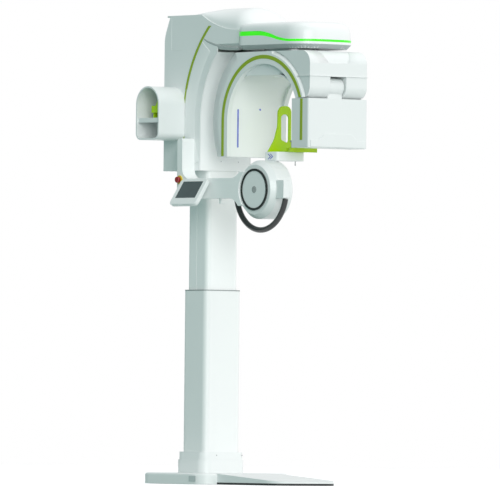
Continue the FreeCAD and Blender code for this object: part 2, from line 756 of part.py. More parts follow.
def cap_outline(grow=0):
    """Plan of the boom cap, grown evenly."""
    return [at(cap_rear - grow, -cap_half - grow, cap_back_round + grow),
            at(cap_front + grow, -cap_half - grow, cap_front_round + grow),
            at(cap_front + grow, cap_half + grow, cap_front_round + grow),
            at(cap_rear - grow, cap_half + grow, cap_back_round + grow)]


def band_line(rear_z, front_z):
    """Corners of the falling line of the light band, from the cap's rear to its front."""
    fall_start, fall_end = axis_x - 55, axis_x + 215
    run = (fall_end - fall_start) / 2
    rise = (rear_z - front_z) / 2
    radius = (run * run + rise * rise) / (rise * 2)
    return [at(cap_rear - 5, rear_z), at(fall_start, rear_z, 0, -radius),
            at(fall_start + run, rear_z - rise, 0, radius), at(fall_end, front_z), at(cap_front + 5, front_z)]


def cap_piece(node, low, high, upper_line=None, lower_line=None):
    """One layer of the cap: its plan, trimmed by the lines of the light band, and hollow."""
    piece = Piece(node)
    piece.add("XY", low, high, cap_outline())
    wide = cap_half + 5
    if lower_line:
        piece.cut("XZ", -wide, wide, lower_line + [at(cap_front + 5, cap_low - 5), at(cap_rear - 5, cap_low - 5)])
    if upper_line:
        piece.cut("XZ", -wide, wide, upper_line + [at(cap_front + 5, cap_top + 5), at(cap_rear - 5, cap_top + 5)])
    return piece


def build_cap():
    """Boom cap in three layers with the light band between."""
    top_line = band_line(led_high + led_tall / 2, led_low + led_thin / 2)
    low_line = band_line(led_high - led_tall / 2, led_low - led_thin / 2)
    beam_slot = box(-beam_half - 1, beam_half + 1, beam_low - 1, beam_high + 1)
    upper = cap_piece("cap_upper", cap_low, cap_top, lower_line=top_line)
    upper.soften(14, flat_at("z", cap_top))
    upper.cut("XY", cap_low, cap_top - cap_wall, cap_outline(-cap_wall))
    band = cap_piece("light_band", cap_low + 10, cap_top - 10, upper_line=top_line, lower_line=low_line)
    band.cut("XY", cap_low, cap_top, cap_outline(-cap_wall))
    lower = cap_piece("cap_lower", cap_low, cap_top, upper_line=low_line)
    lower.bevel(cap_bevel, flat_at("z", cap_low))
    lower.cut("XY", cap_low + cap_bevel, cap_top, cap_outline(-cap_wall))
    lower.cut("XY", cap_low + cap_wall, cap_low + cap_bevel + 1, cap_outline(-cap_wall - cap_bevel))
    lower.cut("XY", cap_low - 1, cap_low + cap_wall + 1, disc(axis_x, 0, hub_r + 6))
    for piece in (upper, band, lower):
        piece.cut("YZ", cap_rear - 1, cap_rear + cap_wall + 1, beam_slot)


def belt_loop(grow):
    """Belt round both pulleys, grown outwards from their rims."""
    big, small = pulley_big + grow, pulley_small + grow
    slant = (big - small) / motor_reach
    level = (1 - slant * slant).root()
    near = axis_x + motor_reach
    return [at(axis_x + big * slant, big * level, 0, big), at(axis_x - big, 0, 0, big),
            at(axis_x + big * slant, -(big * level)), at(near + small * slant, -(small * level), 0, small),
            at(near + small, 0, 0, small), at(near + small * slant, small * level)]


def build_drive():
    """Bearing, hub, pulleys, belt and motor that turn the arch."""
    hub = Piece("gantry_hub")
    hub.add("XY", arch_top, arch_top + 18, disc(axis_x, 0, hub_r))
    hub.add("XY", arch_top + 18, beam_low - 6, disc(axis_x, 0, bearing_r - pin_gap))
    bearing = Piece("bearing_ring")
    bearing.add("XY", arch_top + 25, beam_low, disc(axis_x, 0, bearing_r + 24), disc(axis_x, 0, bearing_r))
    hub.add("XY", arch_top + 18, arch_top + 34, disc(axis_x, 0, pulley_big), disc(axis_x, 0, bearing_r + 27))
    small = Piece("drive_pulley")
    motor_x = axis_x + motor_reach
    small.add("XY", arch_top + 22, arch_top + 34, disc(motor_x, 0, pulley_small))
    small.add("XY", arch_top + 34, arch_top + 52, disc(motor_x, 0, 5))
    belt = Piece("drive_belt")
    belt.add("XY", arch_top + 23, arch_top + 32, belt_loop(fit_gap + belt_t), belt_loop(fit_gap))
    motor = Piece("drive_motor")
    motor.add("XY", arch_top + 40, beam_low, disc(motor_x, 0, 36))
    motor.cut("XY", arch_top + 40, arch_top + 53, disc(motor_x, 0, 5 + pin_gap))


def ring_rear(radius, level):
    """Point of the rear arc at a height."""
    return axis_x - chord_offset(radius, level - arch_z)


def ring_front(radius, level):
    """Point of the front arc at a height."""
    return axis_x + chord_offset(radius, level - arch_z)


def build_arch():
    """Rotating arch: skins, side rings, stripes, frame and X-ray tube."""
    side = Piece("ring_plate_near")
    crown_x = axis_x + chord_offset(arch_front_r, arch_top - arch_z)
    side.add("XZ", -arch_half, -core_half,
             [at(ring_rear(arch_rear_r, leg_low), leg_low, 0, 0), at(axis_x - open_r, leg_low),
              at(axis_x - open_r, arch_z, 0, -open_r), at(axis_x, arch_z + open_r, 0, -open_r),
              at(ring_front(open_r, lug_low), lug_low), at(front_out - lug_round, lug_low),
              at(ring_front(arch_front_r, plate_tip), plate_tip, 0, arch_front_r),
              at(crown_x, arch_top), at(ring_rear(arch_rear_r, arch_top), arch_top, 0, arch_rear_r)])
    side.bevel(ring_bevel, lambda edge: edge.BoundBox.YMax < -arch_half.value + 0.01
               and abs(getattr(edge.Curve, "Radius", 0) - arch_rear_r.value) < 0.01)
    mirrored("ring_plate_far", side, "y")

    outer, inner = stripe_r + stripe_w / 2, stripe_r - stripe_w / 2
    stripe_end = lug_low + 2
    stripe = Piece("stripe_near", listed=False)
    stripe.add("XZ", -arch_half - accent_t, -arch_half,
               [at(axis_x - outer, leg_low + 2), at(axis_x - inner, leg_low + 2),
                at(axis_x - inner, arch_z, 0, -inner), at(axis_x, arch_z + inner, 0, -inner),
                at(ring_front(inner, stripe_end), stripe_end),
                at(ring_front(outer, stripe_end), stripe_end, 0, outer), at(axis_x, arch_z + outer, 0, outer),
                at(axis_x - outer, arch_z)])
    group("arch_stripes", [stripe, mirrored("stripe_far", stripe, "y", listed=False)])

    wrap = Piece("arch_outer_skin")
    wrap_r = arch_rear_r - 2
    inner_r = wrap_r - skin
    wrap_end = front_in - 125
    leg_in = axis_x - open_r - skin
    wrap.add("XZ", -core_half, core_half,
             [at(leg_in, leg_low), at(leg_in, leg_low + skin), at(ring_rear(inner_r, leg_low + skin), leg_low + skin, 0, -inner_r),
              at(ring_rear(inner_r, arch_top - skin), arch_top - skin), at(wrap_end, arch_top - skin),
              at(wrap_end, arch_top), at(ring_rear(wrap_r, arch_top), arch_top, 0, wrap_r),
              at(ring_rear(wrap_r, leg_low), leg_low)])

    liner = Piece("arch_inner_skin")
    left, right, corner = axis_x - open_r, front_in, cave_round
    back = corner + skin
    mid_low = ceiling - corner
    right_x = right - corner
    cut_in = right_x + chord_offset(corner, lug_low - mid_low)
    cut_out = right_x + chord_offset(back, lug_low - mid_low)
    liner.add("XZ", -core_half, core_half,
              [at(left - skin, leg_low), at(left, leg_low), at(left, mid_low, 0, -corner),
               at(left + corner, ceiling), at(right_x, ceiling, 0, -corner), at(cut_in, lug_low),
               at(cut_out, lug_low, 0, back), at(right_x, ceiling + skin), at(left + corner, ceiling + skin, 0, back),
               at(left - skin, mid_low)])

    crown_r = open_r + 6
    crown_low = ceiling + 1
    crown_half = chord_offset(crown_r, crown_low - arch_z)
    crown_end = wrap_end - 1
    for sign in (-1, 1):
        low, high = sorted((core_half * sign, (core_half - skin) * sign), key=lambda item: item.value)
        liner.add("XZ", low, high,
                  [at(axis_x - crown_half, crown_low), at(crown_end, crown_low),
                   at(crown_end, arch_z + chord_offset(crown_r, crown_end - axis_x), 0, crown_r)])

    front = Piece("arch_front_block")
    block_in = front_in + skin + fit_gap
    front.add("XZ", -core_half, core_half,
              [at(wrap_end, ceiling + skin + fit_gap), at(block_in, ceiling + skin + fit_gap), at(block_in, block_split),
               at(front_out, block_split), at(front_out, arch_top, 65), at(wrap_end, arch_top)])
    ring_out = arch_front_r + fit_gap
    cheek = [at(ring_front(ring_out, block_split), block_split), at(front_out, block_split),
             at(front_out, arch_top, 65), at(ring_front(ring_out, arch_top), arch_top, 0, -ring_out)]
    for sign in (-1, 1):
        low, high = sorted((core_half * sign, block_half * sign), key=lambda item: item.value)
        front.add("XZ", low, high, cheek)
        low, high = sorted((slot_half * sign, core_half * sign), key=lambda item: item.value)
        front.add("XZ", low, high, [at(block_in, lug_low), at(front_out, lug_low, lug_round),
                                    at(front_out, block_split), at(block_in, block_split)])
        low, high = sorted((core_half * sign, block_half * sign), key=lambda item: item.value)
        front.add("XZ", low, high,
                  [at(ring_front(ring_out, plate_tip), plate_tip, 0, lug_round), at(front_out, lug_low + lug_round),
                   at(front_out, block_split), at(ring_front(ring_out, block_split), block_split, 0, -ring_out)])
    front.cut("XZ", -core_half + 10, core_half - 10, disc(hinge_x, hinge_z, hinge_r + pin_gap))
    front.cut("XZ", -core_half + 12, core_half - 12,
              [at(wrap_end - 1, ceiling + skin + 8), at(front_out - 14, ceiling + skin + 8),
               at(front_out - 14, arch_top - skin, 56), at(wrap_end - 1, arch_top - skin)])

    frame = Piece("crown_frame")
    frame.add("XZ", -70, 70, box(axis_x - 225, wrap_end + 150, ceiling + skin + 12, arch_top - skin))
    frame.cut("XZ", -58, 58, box(axis_x - 213, wrap_end + 138, ceiling + skin + 22, arch_top - skin - 12))
    tube = Piece("xray_tube_head")
    tube.add("XZ", -75, 75, box(axis_x - 356, leg_in - 28, arch_z - 70, arch_z + 100, 12))
    tube.add("XZ", -40, 40, box(leg_in - 29, leg_in, arch_z - 30, arch_z + 50))
    frame.add("XZ", -50, 50, [at(axis_x - 340, arch_z + 100), at(leg_in - 40, arch_z + 100),
                               at(axis_x - 224, arch_z + 240), at(axis_x - 224, arch_z + 300)])
    lamp = Piece("light_strip", listed=False)
    lamp.add("YZ", axis_x - open_r, axis_x - open_r + 1.5, box(-122.5, -113.5, arch_z - 130, arch_z + 57, 4))
    laser = Piece("laser_window", listed=False)
    laser.add("YZ", axis_x - open_r, axis_x - open_r + 1.5, disc(20, ceiling - cave_round - 8, 5))
    group("arch_lights", [lamp, laser])


def build_detector():
    """Detector head that hangs on the front lugs."""
    shell = Piece("detector_housing")
    shell.add("XZ", -arch_half, arch_half, box(front_in, front_out, head_low, head_top))
    shell.soften(12, along("z", lambda x, y, z: x > front_out.value - 1))
    shell.cut("XZ", -arch_half + head_wall, arch_half - head_wall,
              box(front_in + head_wall, front_out - head_wall, head_low + head_wall, head_top - head_wall))
    panel = Piece("detector_panel")
    panel.add("XZ", -140, 140, box(front_in + head_wall, front_in + head_wall + 22, head_low + 40, head_top - 40))
    tab = Piece("detector_neck")
    tab_face = hinge_x + 28
    tab.add("XZ", -tab_half, tab_half, box(hinge_x - tab_round, tab_face, head_top, hinge_z))
    tab.add("XZ", -tab_half, tab_half, disc(hinge_x, hinge_z, tab_round))
    tab.add("XZ", -core_half + 11, core_half - 11, disc(hinge_x, hinge_z, hinge_r))
    trim = Piece("detector_trim")
    trim_z = head_low + 36
    trim.add("YZ", front_out, front_out + 3,
             [at(-arch_half + 14, head_low + 4, 3), at(arch_half - 14, head_low + 4, 3), at(arch_half - 14, trim_z),
              at(123, trim_z), at(85, trim_z + 31), at(-85, trim_z + 31), at(-123, trim_z), at(-arch_half + 14, trim_z)])
    stripe = Piece("head_stripe", listed=False)
    stripe.add("XZ", -arch_half - accent_t, -arch_half,
               box(axis_x + stripe_r - stripe_w / 2 - 6, axis_x + stripe_r + stripe_w / 2 - 6, trim_z, head_top - 2))
    group("detector_stripes", [stripe, mirrored("head_stripe_far", stripe, "y", listed=False)])


def build_arm():
    """Support arm, drum and hand grip."""
    arm = Piece("support_arm")
    arm_high = arm_low + arm_deep
    arm.add("XZ", -arm_near, -cage_half,
            [at(post_low_x, arm_low, 60), at(axis_x - 90, arm_low), at(axis_x - 90, arm_high),
             at(post_high_x, arm_high, 55), at(post_high_x, arm_rise, 16), at(post_low_x, arm_rise, 16)])
    arm.cut("XZ", -arm_near - 1, -cage_half + 1, disc(axis_x, drum_z, drum_r + fit_gap))
    arm.cut("XZ", -arm_near, -arm_near + 12, disc(stop_x, stop_z, 12))
    drum = Piece("drum_housing")
    mouth = disc_r - 6
    wall = 10
    drum.turn("XY", drum_z, (axis_x, 0, "v"),
              [at(axis_x, -drum_far), at(axis_x + drum_r, -drum_far, 8), at(axis_x + drum_r, -drum_near + 30),
               at(axis_x + drum_r - 22, -drum_near), at(axis_x + mouth, -drum_near), at(axis_x + mouth, -drum_near + wall),
               at(axis_x + drum_r - 28, -drum_near + wall), at(axis_x + drum_r - wall, -drum_near + 34),
               at(axis_x + drum_r - wall, -drum_far - wall), at(axis_x, -drum_far - wall)])
    drum.add("XZ", -drum_near - 3, -drum_near, disc(axis_x, drum_z, disc_r))
    ring = Piece("drum_ring")
    ring.add("XZ", -drum_near - 6, -drum_near, disc(axis_x, drum_z, ring_r), disc(axis_x, drum_z, disc_r + fit_gap))

    grip = Piece("hand_grip")
    grip_z = drum_z - 5
    grip.turn("YZ", axis_x, (0, grip_z, "u"), disc(-grip_y, grip_z - grip_r, grip_t), sweep=grip_turn)
    seat_z = arm_low - 4.4
    socket = rod("grip_socket", "z", axis_x - grip_r + 4, -grip_y, seat_z, 20, arm_low - seat_z)
    bracket = Piece("grip_bracket", listed=False)
    bracket.add("XZ", -grip_y - 19, -grip_y + 19,
                box(axis_x + 107, axis_x + 193, seat_z, seat_z + 88, 6))
    bracket.cut("XZ", -grip_y - 20, -grip_y + 20, disc(axis_x, drum_z, drum_r + fit_gap))
    group("grip_mounts", [socket, bracket])
    arm.add("YZ", 307, 319, [at(-212, arm_low - 25), at(-192, arm_low - 25), at(-192, arm_low - 18),
                              at(-203, arm_low - 18), at(-203, arm_low), at(-212, arm_low)])
    collar = Piece("stop_collar")
    collar.add("XZ", -arm_near - 5, -arm_near, disc(stop_x, stop_z, 21), disc(stop_x, stop_z, 12))
    button = Piece("stop_button")
    face_y = -arm_near - 9
    button.turn("XY", stop_z, (stop_x, 0, "v"),
                [at(stop_x, face_y - 13), at(stop_x + 15, face_y - 13, 4), at(stop_x + 16, face_y),
                 at(stop_x + 11.7, face_y), at(stop_x + 11.7, -arm_near + 2), at(stop_x, -arm_near + 2)])


def build_head_support():
    """Chin block, chin rest, bite rod and temple supports."""
    chin = Piece("chin_block")
    chin_low = drum_z + drum_r
    chin.add("XY", chin_low, chin_top,
             [at(axis_x - chin_half, -130, 14), at(axis_x + chin_half, -130, 14), at(axis_x + chin_half, 46, 20),
              at(axis_x - chin_half, 46, 20)])
    chin.soften(3, flat_at("z", chin_top))
    chin.add("XY", chin_low - 12, chin_low, box(axis_x - 35, axis_x + 35, -128, -drum_far - 2))
    chin.cut("XZ", -140, -90, disc(axis_x, drum_z, drum_r + fit_gap))

    rest = Piece("chin_rest")
    low = chin_top + fit_gap
    rest.add("XY", low, low + 8, box(axis_x - 30, axis_x + 30, -20, 42, 12))
    rest.add("YZ", axis_x - 22, axis_x + 22,
             [at(-14, low + 8), at(30, low + 8), at(38, low + 30, 5), at(22, low + 34, 4), at(8, low + 20, 10), at(-14, low + 24, 4)])
    rest.cut("XY", low, low + 60, disc(axis_x, 0, 3 + pin_gap))
    bite = Piece("bite_rod")
    bite.add("XY", low, low + 52, disc(axis_x, 0, 3))
    bite.add("XY", low + 52, low + 58, box(axis_x - 9, axis_x + 9, -6, 16, 3))

    temple = Piece("temple_support_rear")
    inner = axis_x - temple_gap
    base = chin_top + fit_gap
    loop = [at(-85, base), at(92, base), at(92, base + 26, 10), at(58, base + 48, 18),
            at(58, temple_top, 30), at(-22, temple_top, 36), at(-24, base + 128, 90), at(-44, base + 62, 90)]
    window = [at(-4, base + 62, 12), at(44, base + 44, 12), at(44, temple_top - 34, 22), at(-6, temple_top - 46, 18)]
    temple.add("YZ", inner - temple_t, inner, loop, window)
    temple.add("XY", base, base + 5, box(inner - 1, axis_x - 37, -16, 40, 4))
    mirrored("temple_support_front", temple, "x", axis_x)


def build_pod():
    """Open accessory pod on the carriage's side."""
    pod = Piece("accessory_pod")
    radius = (pod_rear - pod_front) / 2
    middle = -(pod_rear + pod_front) / 2
    spring = pod_top - radius

    def outline(inset):
        low, bend = pod_low + inset, pod_round - inset
        left, right = -pod_rear + inset, -pod_front - inset
        arc = radius - inset
        return [at(left, low, bend), at(right, low, bend), at(right, spring, 0, arc), at(middle, pod_top - inset, 0, arc),
                at(left, spring)]
    pod.add("XZ", -pod_mouth, -cage_half, outline(Size.of(0)))
    pod.cut("XZ", -pod_mouth, -cage_half - pod_wall, outline(pod_wall))
    pod.add("XZ", -pod_mouth + 8, -cage_half - pod_wall,
              box(-pod_rear + pod_wall, -pod_front - pod_wall, shelf_z, shelf_z + 22))
    spare = Piece("spare_chin_rest")
    low = shelf_z + 22
    for x in (middle - 8, middle + 32):
        spare.add("XY", low, low + 26, box(x - 4, x + 4, -278, -250))
    spare.add("XY", low + 26, low + 60, box(middle - 14, middle + 40, -290, -240, 5))
    spare.add("YZ", middle + 14, middle + 26, [at(-285, low + 60), at(-262, low + 60), at(-248, low + 112, 6), at(-262, low + 112, 6)])


def build_screen():
    """Touch screen and its tilting bracket."""
    housing = Piece("screen_housing")
    half_w, half_t, depth = tab_wide / 2, tab_tall / 2, tab_t / 2
    housing.add("XY", -depth, depth, box(-half_w, half_w, -half_t, half_t, 22))
    housing.soften(4, flat_at("z", depth, -depth))
    glass_y = 10
    recess = box(-glass_wide / 2, glass_wide / 2, glass_y - glass_tall / 2, glass_y + glass_tall / 2)
    housing.cut("XY", depth - 3, depth + 1, recess)
    housing.add("XY", -pivot_drop - 8, -depth + 0.5,
                box(-boss_half, boss_half, pivot_rise - 8, pivot_rise + 8, 3))
    housing.cut("YZ", -boss_half, boss_half, disc(pivot_rise, -pivot_drop, 5 + pin_gap))
    glass = Piece("screen_glass")
    glass.add("XY", depth - 3, depth - 0.5, recess)
    for piece in (housing, glass):
        piece.place(tab_x, -tab_y, tab_z, FreeCAD.Vector(1, 0, 0), 90 - tab_lean)

    lean = 90 - tab_lean
    pivot_y = pivot_rise * lean.cosine() + pivot_drop * lean.sine() - tab_y
    pivot_z = tab_z + pivot_rise * lean.sine() - pivot_drop * lean.cosine()
    bracket = Piece("screen_bracket")
    bracket.add("YZ", tab_x - boss_half - 9, tab_x + boss_half + 9,
                box(-arm_near - 5, -arm_near, pivot_z - 18, pivot_z + 18, 2))
    for sign in (-1, 1):
        low, high = sorted((tab_x + sign * (boss_half + fit_gap), tab_x + sign * (boss_half + 9)),
                           key=lambda item: item.value)
        bracket.add("YZ", low, high, box(pivot_y, -arm_near, pivot_z - 11, pivot_z + 11))
        bracket.add("YZ", low, high, disc(pivot_y, pivot_z, 11))
    bracket.add("YZ", tab_x - boss_half - 9, tab_x + boss_half + 9, disc(pivot_y, pivot_z, 5))


def write_parts():
    """Check every object and shape, then write one file per node."""
    DOC.recompute()
    faulty = [item.Name for item in DOC.Objects if {"Invalid", "Error"} & set(item.State)]
    if faulty:
        raise RuntimeError("objects in error: %s" % ", ".join(faulty))
    os.makedirs("parts", exist_ok=True)
    for item in NODES:
        shape = item.Shape
        if shape.isNull() or not shape.isValid() or not shape.Solids:
            raise RuntimeError("bad shape: %s" % item.Label)
        shape.exportStep("parts/%s.step" % item.Label)
        print(item.Label, len(shape.Solids), round(shape.Volume / 1000.0, 1))


def main():
    """Build every sub-assembly and write the files."""
    build_base()
    build_foot()
    build_column()
    build_carriage()
    build_dome_and_neck()
    build_cap()
    build_drive()
    build_arch()
    build_detector()
    build_arm()
    build_head_support()
    build_pod()
    build_screen()
    write_parts()


main()
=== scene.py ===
"""Looks of a cone-beam jaw x-ray unit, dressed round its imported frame.

Everything is in metres in the frame's own axes: origin on the column axis at the floor,
+X along the boom to the patient, -Y to the operator and +Z up. Sizes and places are fields
of each sub-assembly, in the frame's own measures, or are read from the boxes of its nodes.
"""

import logging
import math
from dataclasses import dataclass
from enum import Enum

import bmesh
import bpy
from mathutils import Matrix, Vector


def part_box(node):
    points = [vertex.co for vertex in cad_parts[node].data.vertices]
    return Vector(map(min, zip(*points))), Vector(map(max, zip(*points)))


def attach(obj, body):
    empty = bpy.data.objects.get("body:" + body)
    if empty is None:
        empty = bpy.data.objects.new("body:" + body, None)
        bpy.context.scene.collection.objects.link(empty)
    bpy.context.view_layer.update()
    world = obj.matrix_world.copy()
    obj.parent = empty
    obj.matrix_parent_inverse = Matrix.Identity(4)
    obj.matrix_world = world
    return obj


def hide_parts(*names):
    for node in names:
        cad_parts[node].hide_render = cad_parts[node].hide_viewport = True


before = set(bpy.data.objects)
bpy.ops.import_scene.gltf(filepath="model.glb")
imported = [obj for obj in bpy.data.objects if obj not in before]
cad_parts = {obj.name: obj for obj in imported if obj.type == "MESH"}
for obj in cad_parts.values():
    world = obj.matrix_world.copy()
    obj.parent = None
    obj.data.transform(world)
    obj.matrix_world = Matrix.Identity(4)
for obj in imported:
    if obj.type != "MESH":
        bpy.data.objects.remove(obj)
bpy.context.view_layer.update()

LOG = logging.getLogger("xray_unit")
MM = 0.001
Flat = tuple[float, float]
Point = tuple[float, float, float]
Colour = tuple[float, float, float]


class Body(Enum):
    """Bodies of the frame that pieces ride on."""

    BASE = "base"
    CARRIAGE = "carriage"
    ARCH = "arch"
    MOTOR_SHAFT = "motor_shaft"
    DETECTOR = "detector"
    SCREEN = "screen"
    STOP = "stop"
    CHIN = "chin"
    TEMPLE_REAR = "temple_rear"
    TEMPLE_FRONT = "temple_front"


class Slot(Enum):
    """Material slots of the record."""

    SHELL = "shell_white"
    OLIVE = "olive_green"
    STEEL = "steel"
    GREY = "grey"


class Side(Enum):
    """Sides of the unit, each with the way it faces along Y."""

    NEAR = -1.0
    FAR = 1.0

    @property
    def label(self) -> str:
        """Name of the side in the names of pieces and nodes."""
        return self.name.lower()

    def outward(self, distance: float) -> float:
        """Place along Y of a surface at a distance from the middle."""
        return self.value * distance


class Grain(Enum):
    """Fine relief of a surface: noise scale per metre, stretch along X, Y and Z, and depth in metres."""

    ORANGE_PEEL = (420.0, (1.0, 1.0, 1.0), 0.00003)
    POWDER_COAT = (1500.0, (1.0, 1.0, 1.0), 0.00003)
    MOULDED = (900.0, (1.0, 1.0, 1.0), 0.00003)
    BRUSHED = (260.0, (1.0, 1.0, 24.0), 0.00006)
    CAST = (520.0, (1.0, 1.0, 1.0), 0.00035)
    POLISHED = (60.0, (1.0, 1.0, 1.0), 0.00001)


class Axis(Enum):
    """Direction that an outline is pulled along, with the two axes of its plane."""

    X = (0, 1, 2)
    Y = (1, 0, 2)
    Z = (2, 0, 1)


class ShaderTree:
    """A node tree that is filled in a few short calls."""

    def __init__(self, name: str) -> None:
        """Start an empty surface material.

        Args:
            name: Name of the material.
        """
        self.material = bpy.data.materials.new(name)
        self.material.use_nodes = True
        self.tree = self.material.node_tree
        self.tree.nodes.clear()

    def add(self, kind: str, **settings: object) -> bpy.types.Node:
        """Add a node.

        Args:
            kind: Type of the node.
            **settings: Properties of the node, or socket values by the socket's name with _ for a space.

        Returns:
            The new node.
        """
        node = self.tree.nodes.new(kind)
        for key, value in settings.items():
            if hasattr(node, key):
                setattr(node, key, value)
            else:
                node.inputs[key.replace("_", " ")].default_value = value
        return node

    def link(self, source: bpy.types.NodeSocket, target: bpy.types.NodeSocket) -> None:
        """Join two sockets."""
        self.tree.links.new(source, target)

    def noise(self, scale: float, detail: float, stretch: Point = (1.0, 1.0, 1.0)) -> bpy.types.NodeSocket:
        """Add a noise that follows the object's own coordinates.

        Args:
            scale: Waves per metre.
            detail: Octaves of finer noise.
            stretch: Stretch along X, Y and Z.

        Returns:
            The noise's value socket.
        """
        place = self.add("ShaderNodeTexCoord")
        mapping = self.add("ShaderNodeMapping", Scale=stretch)
        self.link(place.outputs["Object"], mapping.inputs["Vector"])
        noise = self.add("ShaderNodeTexNoise", Scale=scale, Detail=detail)
        self.link(mapping.outputs["Vector"], noise.inputs["Vector"])
        return noise.outputs[0]

    def remap(self, source: bpy.types.NodeSocket, low: float, high: float, from_low: float = 0.3,
              from_high: float = 0.7) -> bpy.types.NodeSocket:
        """Bring a value from one range to another.

        Args:
            source: The socket to read.
            low: Result at from_low.
            high: Result at from_high.
            from_low: Low end of what comes in.
            from_high: High end of what comes in.

        Returns:
            The socket with the new value.
        """
        node = self.add("ShaderNodeMapRange")
        for key, value in (("From Min", from_low), ("From Max", from_high), ("To Min", low), ("To Max", high)):
            node.inputs[key].default_value = value
        self.link(source, node.inputs["Value"])
        return node.outputs["Result"]

    def blend(self, amount: bpy.types.NodeSocket, first: Colour, second: Colour) -> bpy.types.NodeSocket:
        """Mix two colours by a socket's value.

        Args:
            amount: Share of the second colour.
            first: Linear colour at nought.
            second: Linear colour at one.

        Returns:
            The mixed colour's socket.
        """
        node = self.add("ShaderNodeMix", data_type="RGBA")
        self.link(amount, node.inputs[0])
        node.inputs[6].default_value = (*first, 1.0)
        node.inputs[7].default_value = (*second, 1.0)
        return node.outputs[2]


@dataclass(frozen=True)
class Finish:
    """A solid surface: its colour, gloss and fine relief."""

    name: str
    colour: Colour
    roughness: float
    grain: Grain
    metallic: float = 0.0
    coat: float = 0.0
    drift: float = 0.03
    drift_scale: float = 5.0
    edge_radius: float = 0.0015
    wear: float = 0.06
    subsurface: float = 0.0
    glow: float = 0.0

    def shade(self, factor: float) -> Colour:
        """The finish's colour made lighter or darker by a factor."""
        return tuple(min(1.0, channel * factor) for channel in self.colour)

    def material(self) -> bpy.types.Material:
        """Make the material once and hand out the same one after that.

        Returns:
            The material.
        """
        made = bpy.data.materials.get(self.name)
        return made if made else self.make()

    def make(self) -> bpy.types.Material:
        """Build the shader: drifting colour, worn edges, uneven gloss and fine relief.

        Returns:
            The material.
        """
        sketch = ShaderTree(self.name)
        shader = sketch.add("ShaderNodeBsdfPrincipled", Metallic=self.metallic)
        shader.inputs["Coat Weight"].default_value = self.coat
        shader.inputs["Coat Roughness"].default_value = 0.06
        shader.inputs["Subsurface Weight"].default_value = self.subsurface
        shader.inputs["Subsurface Scale"].default_value = 0.004
        if self.glow:
            shader.inputs["Emission Color"].default_value = (*self.colour, 1.0)
            shader.inputs["Emission Strength"].default_value = self.glow
        output = sketch.add("ShaderNodeOutputMaterial")
        sketch.link(shader.outputs[0], output.inputs["Surface"])

        soft_edge = sketch.add("ShaderNodeBevel", samples=4, Radius=self.edge_radius)
        drift = sketch.remap(sketch.noise(self.drift_scale, 3.0), 0.0, 1.0)
        base = sketch.blend(drift, self.shade(1.0 - self.drift), self.shade(1.0 + self.drift))
        worn = self.worn_edges(sketch, soft_edge)
        mix = sketch.add("ShaderNodeMix", data_type="RGBA")
        sketch.link(worn, mix.inputs[0])
        sketch.link(base, mix.inputs[6])
        mix.inputs[7].default_value = (*self.shade(0.86), 1.0)
        sketch.link(mix.outputs[2], shader.inputs["Base Color"])

        uneven = sketch.noise(34.0, 4.0)
        sketch.link(sketch.remap(uneven, self.roughness * 0.95, self.roughness * 1.07), shader.inputs["Roughness"])
        scale, stretch, depth = self.grain.value
        bump = sketch.add("ShaderNodeBump", Strength=0.35, Distance=depth)
        sketch.link(sketch.noise(scale, 2.0, stretch), bump.inputs["Height"])
        sketch.link(soft_edge.outputs[0], bump.inputs["Normal"])
        sketch.link(bump.outputs[0], shader.inputs["Normal"])
        return sketch.material

    def worn_edges(self, sketch: ShaderTree, soft_edge: bpy.types.Node) -> bpy.types.NodeSocket:
        """Find the handled edges, broken up by noise.

        Args:
            sketch: The tree being filled.
            soft_edge: Node with the rounded normal.

        Returns:
            A socket that is nought on faces and rises on edges.
        """
        true_normal = sketch.add("ShaderNodeNewGeometry")
        dot = sketch.add("ShaderNodeVectorMath", operation="DOT_PRODUCT")
        sketch.link(soft_edge.outputs[0], dot.inputs[0])
        sketch.link(true_normal.outputs["Normal"], dot.inputs[1])
        edge = sketch.remap(dot.outputs["Value"], self.wear, 0.0, 0.86, 0.99)
        patchy = sketch.remap(sketch.noise(55.0, 3.0), 0.0, 1.0, 0.42, 0.6)
        both = sketch.add("ShaderNodeMath", operation="MULTIPLY")
        sketch.link(edge, both.inputs[0])
        sketch.link(patchy, both.inputs[1])
        return both.outputs[0]


GLOSS_WHITE = Finish("gloss_white_shell", (0.82, 0.845, 0.84), 0.34, Grain.ORANGE_PEEL, coat=0.15, drift=0.006)
COLUMN_WHITE = Finish("column_white_paint", (0.90, 0.92, 0.915), 0.4, Grain.POWDER_COAT, coat=0.1, drift=0.006)
SATIN_WHITE = Finish("satin_white_paint", (0.85, 0.87, 0.865), 0.4, Grain.POWDER_COAT, coat=0.1, drift=0.006)
INNER_WHITE = Finish("matt_white_liner", (0.84, 0.86, 0.86), 0.5, Grain.MOULDED, drift=0.006)
PLATE_BLACK = Finish("black_powder_coat", (0.012, 0.013, 0.014), 0.5, Grain.POWDER_COAT, drift=0.2)
LIME = Finish("lime_moulding", (0.50, 0.76, 0.0), 0.36, Grain.MOULDED, drift=0.04, subsurface=0.15)
OLIVE = Finish("olive_inlay", (0.29, 0.42, 0.012), 0.42, Grain.MOULDED, drift=0.03, edge_radius=0.0006)
LIT_GREEN = Finish("lit_green_diffuser", (0.05, 0.80, 0.01), 0.3, Grain.POLISHED, drift=0.12, drift_scale=14.0,
                   glow=0.45)
RUBBER = Finish("black_grip_rubber", (0.014, 0.016, 0.016), 0.3, Grain.MOULDED, coat=0.4, drift=0.15, wear=0.3)
GLOSS_BLACK = Finish("gloss_black_ring", (0.008, 0.009, 0.009), 0.22, Grain.MOULDED, coat=0.3, drift=0.15)
STEEL = Finish("machined_steel", (0.50, 0.51, 0.52), 0.3, Grain.BRUSHED, metallic=1.0, drift=0.06)
CAST_ALUMINIUM = Finish("cast_aluminium", (0.62, 0.63, 0.64), 0.45, Grain.CAST, metallic=1.0, drift=0.08)
